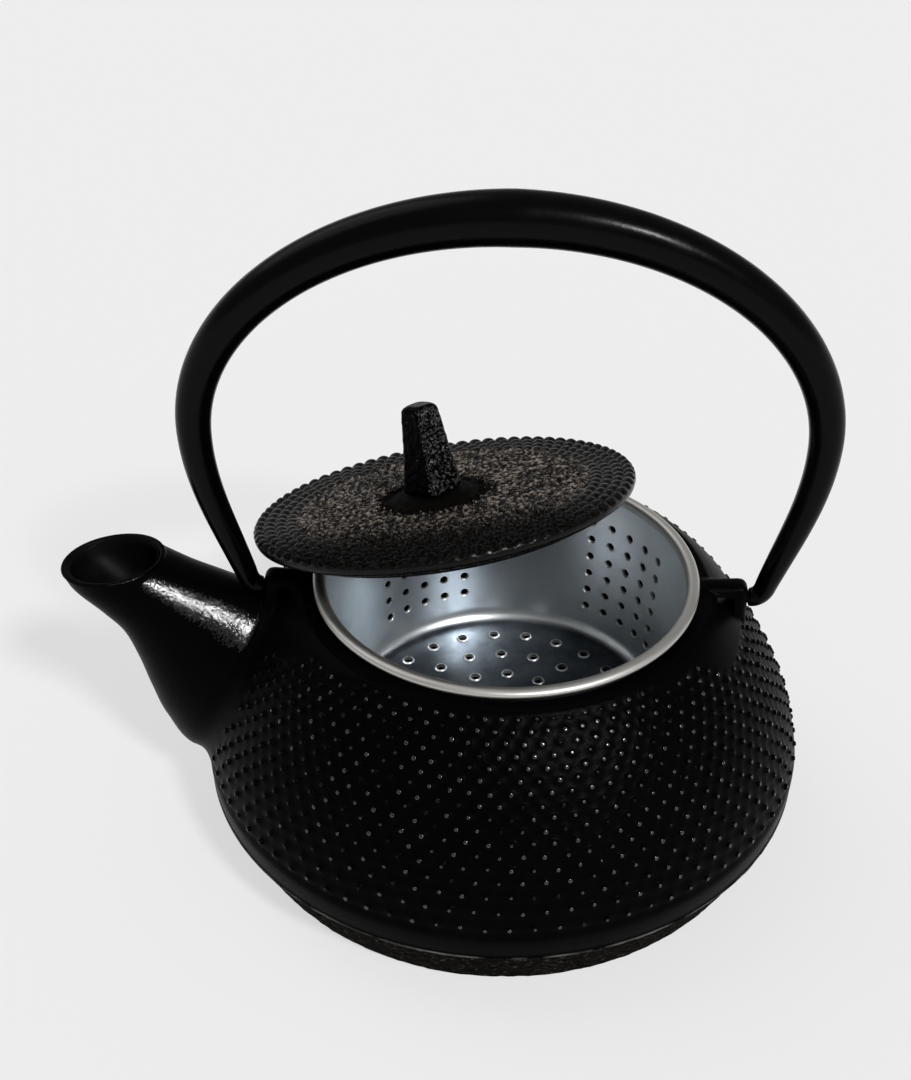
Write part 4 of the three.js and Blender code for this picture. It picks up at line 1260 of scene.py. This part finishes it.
def make_bail():
    """Round bar along the path, thin at the ears and thick at the crown, with a pin at each end."""
    path = bail_half_path()
    travel = np.concatenate([[0], np.cumsum(np.hypot(*np.diff(path, axis=0).T))])
    shares = np.concatenate([np.linspace(0, 0.06, 14)[:-1], np.linspace(0.06, 1, 76)])
    places = np.stack([np.interp(shares * travel[-1], travel, column) for column in path.T], -1)
    slopes = np.gradient(path, travel, axis=0)
    slopes = np.stack([np.interp(shares * travel[-1], travel, column) for column in slopes.T], -1)
    slopes[0], slopes[-1] = (1, 0), (-1, 0)
    angle = round_angles(40)

    def ring(place, slope, radius):
        """A round section at a place of the XZ plane, square to a slope."""
        side = np.array([slope[1], -slope[0]]) / math.hypot(*slope)
        plane = place + side * (radius * np.cos(angle))[:, None]
        return np.column_stack([plane[:, 0], radius * np.sin(angle), PIVOT_HEIGHT + plane[:, 1]])

    tip = EAR_OUTER - EAR_LEG - PIN_REACH
    face = EAR_OUTER + PIN_CLEARANCE
    pin = [(tip + 0.35 * share, PIN_RADIUS * (0.6 + 0.4 * share**0.5)) for share in (0, 0.3, 0.6, 1)]
    pin += [(face, PIN_RADIUS), (face, PIN_RADIUS + 0.3)]
    rings = [ring(np.array([across, 0]), (1, 0), radius) for across, radius in pin]
    for place, slope, share in zip(places, slopes, shares):
        growth = (BAIL_CROWN_RADIUS - BAIL_FOOT_RADIUS) * share**BAIL_TAPER_POWER
        # The first ring leaves the ear's face free
        place = place + (0.12 * (share < 0.004), 0)
        rings.append(ring(place, slope, BAIL_FOOT_RADIUS + growth))
    rings += [r * [-1, 1, 1] for r in rings[-2::-1]]
    bail = solid("bail", loft(rings), (bail_steel(),))
    finish_surface(bail, 50)
    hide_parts("bail_handle")
    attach(bail, "bail")
    return bail


# Level of the pale background, the floor's share of it that takes no shadow, and the room above
PALE_LEVEL = 0.86
FLOOR_PALE_SHARE = 0.7
STUDIO_LEVEL = 0.28
HORIZON = (0.04, 0.17)

# Lamps: direction towards them, strength and spread in degrees
KEY_LAMP = ((0.43, -0.58, 0.69), 2.05, 8)
FILL_LAMP = ((-0.55, 0.35, 0.76), 0.6, 50)

# Ground: half its side, and how far it lies under the base
FLOOR_REACH = 6000
FLOOR_DROP = 0.05


def make_floor():
    """Wide pale ground just under the base."""
    signs = [(-1, -1), (1, -1), (1, 1), (-1, 1)]
    corners = [(x * FLOOR_REACH * MM, y * FLOOR_REACH * MM, -FLOOR_DROP * MM) for x, y in signs]
    mesh = bpy.data.meshes.new("floor")
    mesh.from_pydata(corners, [], [[0, 1, 2, 3]])
    look = Shader("floor", Roughness=0.9, Specular_IOR_Level=0.0, Base_Color=(0.94, 0.94, 0.94, 1))
    pale = look.node("ShaderNodeEmission", {"Color": (1, 1, 1, 1), "Strength": PALE_LEVEL}).outputs[0]
    rays = look.node("ShaderNodeLightPath", {}).outputs
    seen = look.math("MAXIMUM", rays["Is Camera Ray"], rays["Is Glossy Ray"])
    seen = look.math("MAXIMUM", seen, rays["Is Transmission Ray"])
    share = look.math("MULTIPLY", seen, FLOOR_PALE_SHARE)
    both = look.node("ShaderNodeMixShader", {0: share, 1: look.base.outputs[0], 2: pale}).outputs[0]
    output = look.tree.nodes["Material Output"]
    look.tree.links.new(both, output.inputs["Surface"])
    mesh.materials.append(look.material)
    floor = linked("floor", mesh)


def make_sun(name, towards, strength, spread):
    """A far soft lamp whose light comes from a direction."""
    lamp = bpy.data.lights.new(name, "SUN")
    lamp.energy = strength
    lamp.angle = math.radians(spread)
    holder = linked(name, lamp)
    holder.rotation_mode = "QUATERNION"
    holder.rotation_quaternion = Vector(towards).to_track_quat("Z", "Y")


def make_light():
    """A soft key from the front right, a wide weak fill from the left, and a dim room with a pale horizon."""
    make_sun("key", *KEY_LAMP)
    make_sun("fill", *FILL_LAMP)
    world = bpy.data.worlds.new("studio")
    world.use_nodes = True
    tree = world.node_tree
    direction = tree.nodes.new("ShaderNodeTexCoord").outputs["Generated"]
    upwards = tree.nodes.new("ShaderNodeSeparateXYZ")
    tree.links.new(direction, upwards.inputs[0])
    level = tree.nodes.new("ShaderNodeMapRange")
    level.interpolation_type = "SMOOTHSTEP"
    values = {"From Min": HORIZON[0], "From Max": HORIZON[1], "To Min": PALE_LEVEL, "To Max": STUDIO_LEVEL}
    for socket, value in values.items():
        level.inputs[socket].default_value = value
    tree.links.new(upwards.outputs["Z"], level.inputs["Value"])
    tree.links.new(level.outputs[0], tree.nodes["Background"].inputs["Strength"])
    tree.nodes["Background"].inputs["Color"].default_value = (1, 1, 1, 1)
    bpy.context.scene.world = world


# Camera at the photograph's place: it looks down on the pot from the front, slightly rolled
CAMERA_PLACE = (0.0, -233.2, 221.2)
CAMERA_TARGET = (0.0, 0.0, 30.63)
CAMERA_ROLL = 1.4
CAMERA_SHIFT = (-0.0451, 0.1189)


def make_camera():
    """The photograph's view, with a shifted 50 mm lens."""
    lens = bpy.data.cameras.new("camera")
    lens.lens = 50
    lens.sensor_width = 36
    lens.shift_x, lens.shift_y = CAMERA_SHIFT
    lens.clip_start = 0.01
    camera = linked("camera", lens)
    place = Vector(CAMERA_PLACE) * MM
    forward = (Vector(CAMERA_TARGET) * MM - place).normalized()
    right = forward.cross(Vector((0, 0, 1))).normalized()
    up = right.cross(forward)
    roll = math.radians(CAMERA_ROLL)
    across = right * math.cos(roll) + up * math.sin(roll)
    upwards = across.cross(forward)
    axes = Matrix((across, upwards, -forward)).transposed()
    camera.matrix_world = Matrix.Translation(place) @ axes.to_4x4()
    bpy.context.scene.camera = camera


make_camera()
make_pot()
make_infuser()
make_lid()
make_knob()
make_washer()
make_bail()
make_floor()
make_light()
bpy.context.scene.view_settings.view_transform = "Standard"
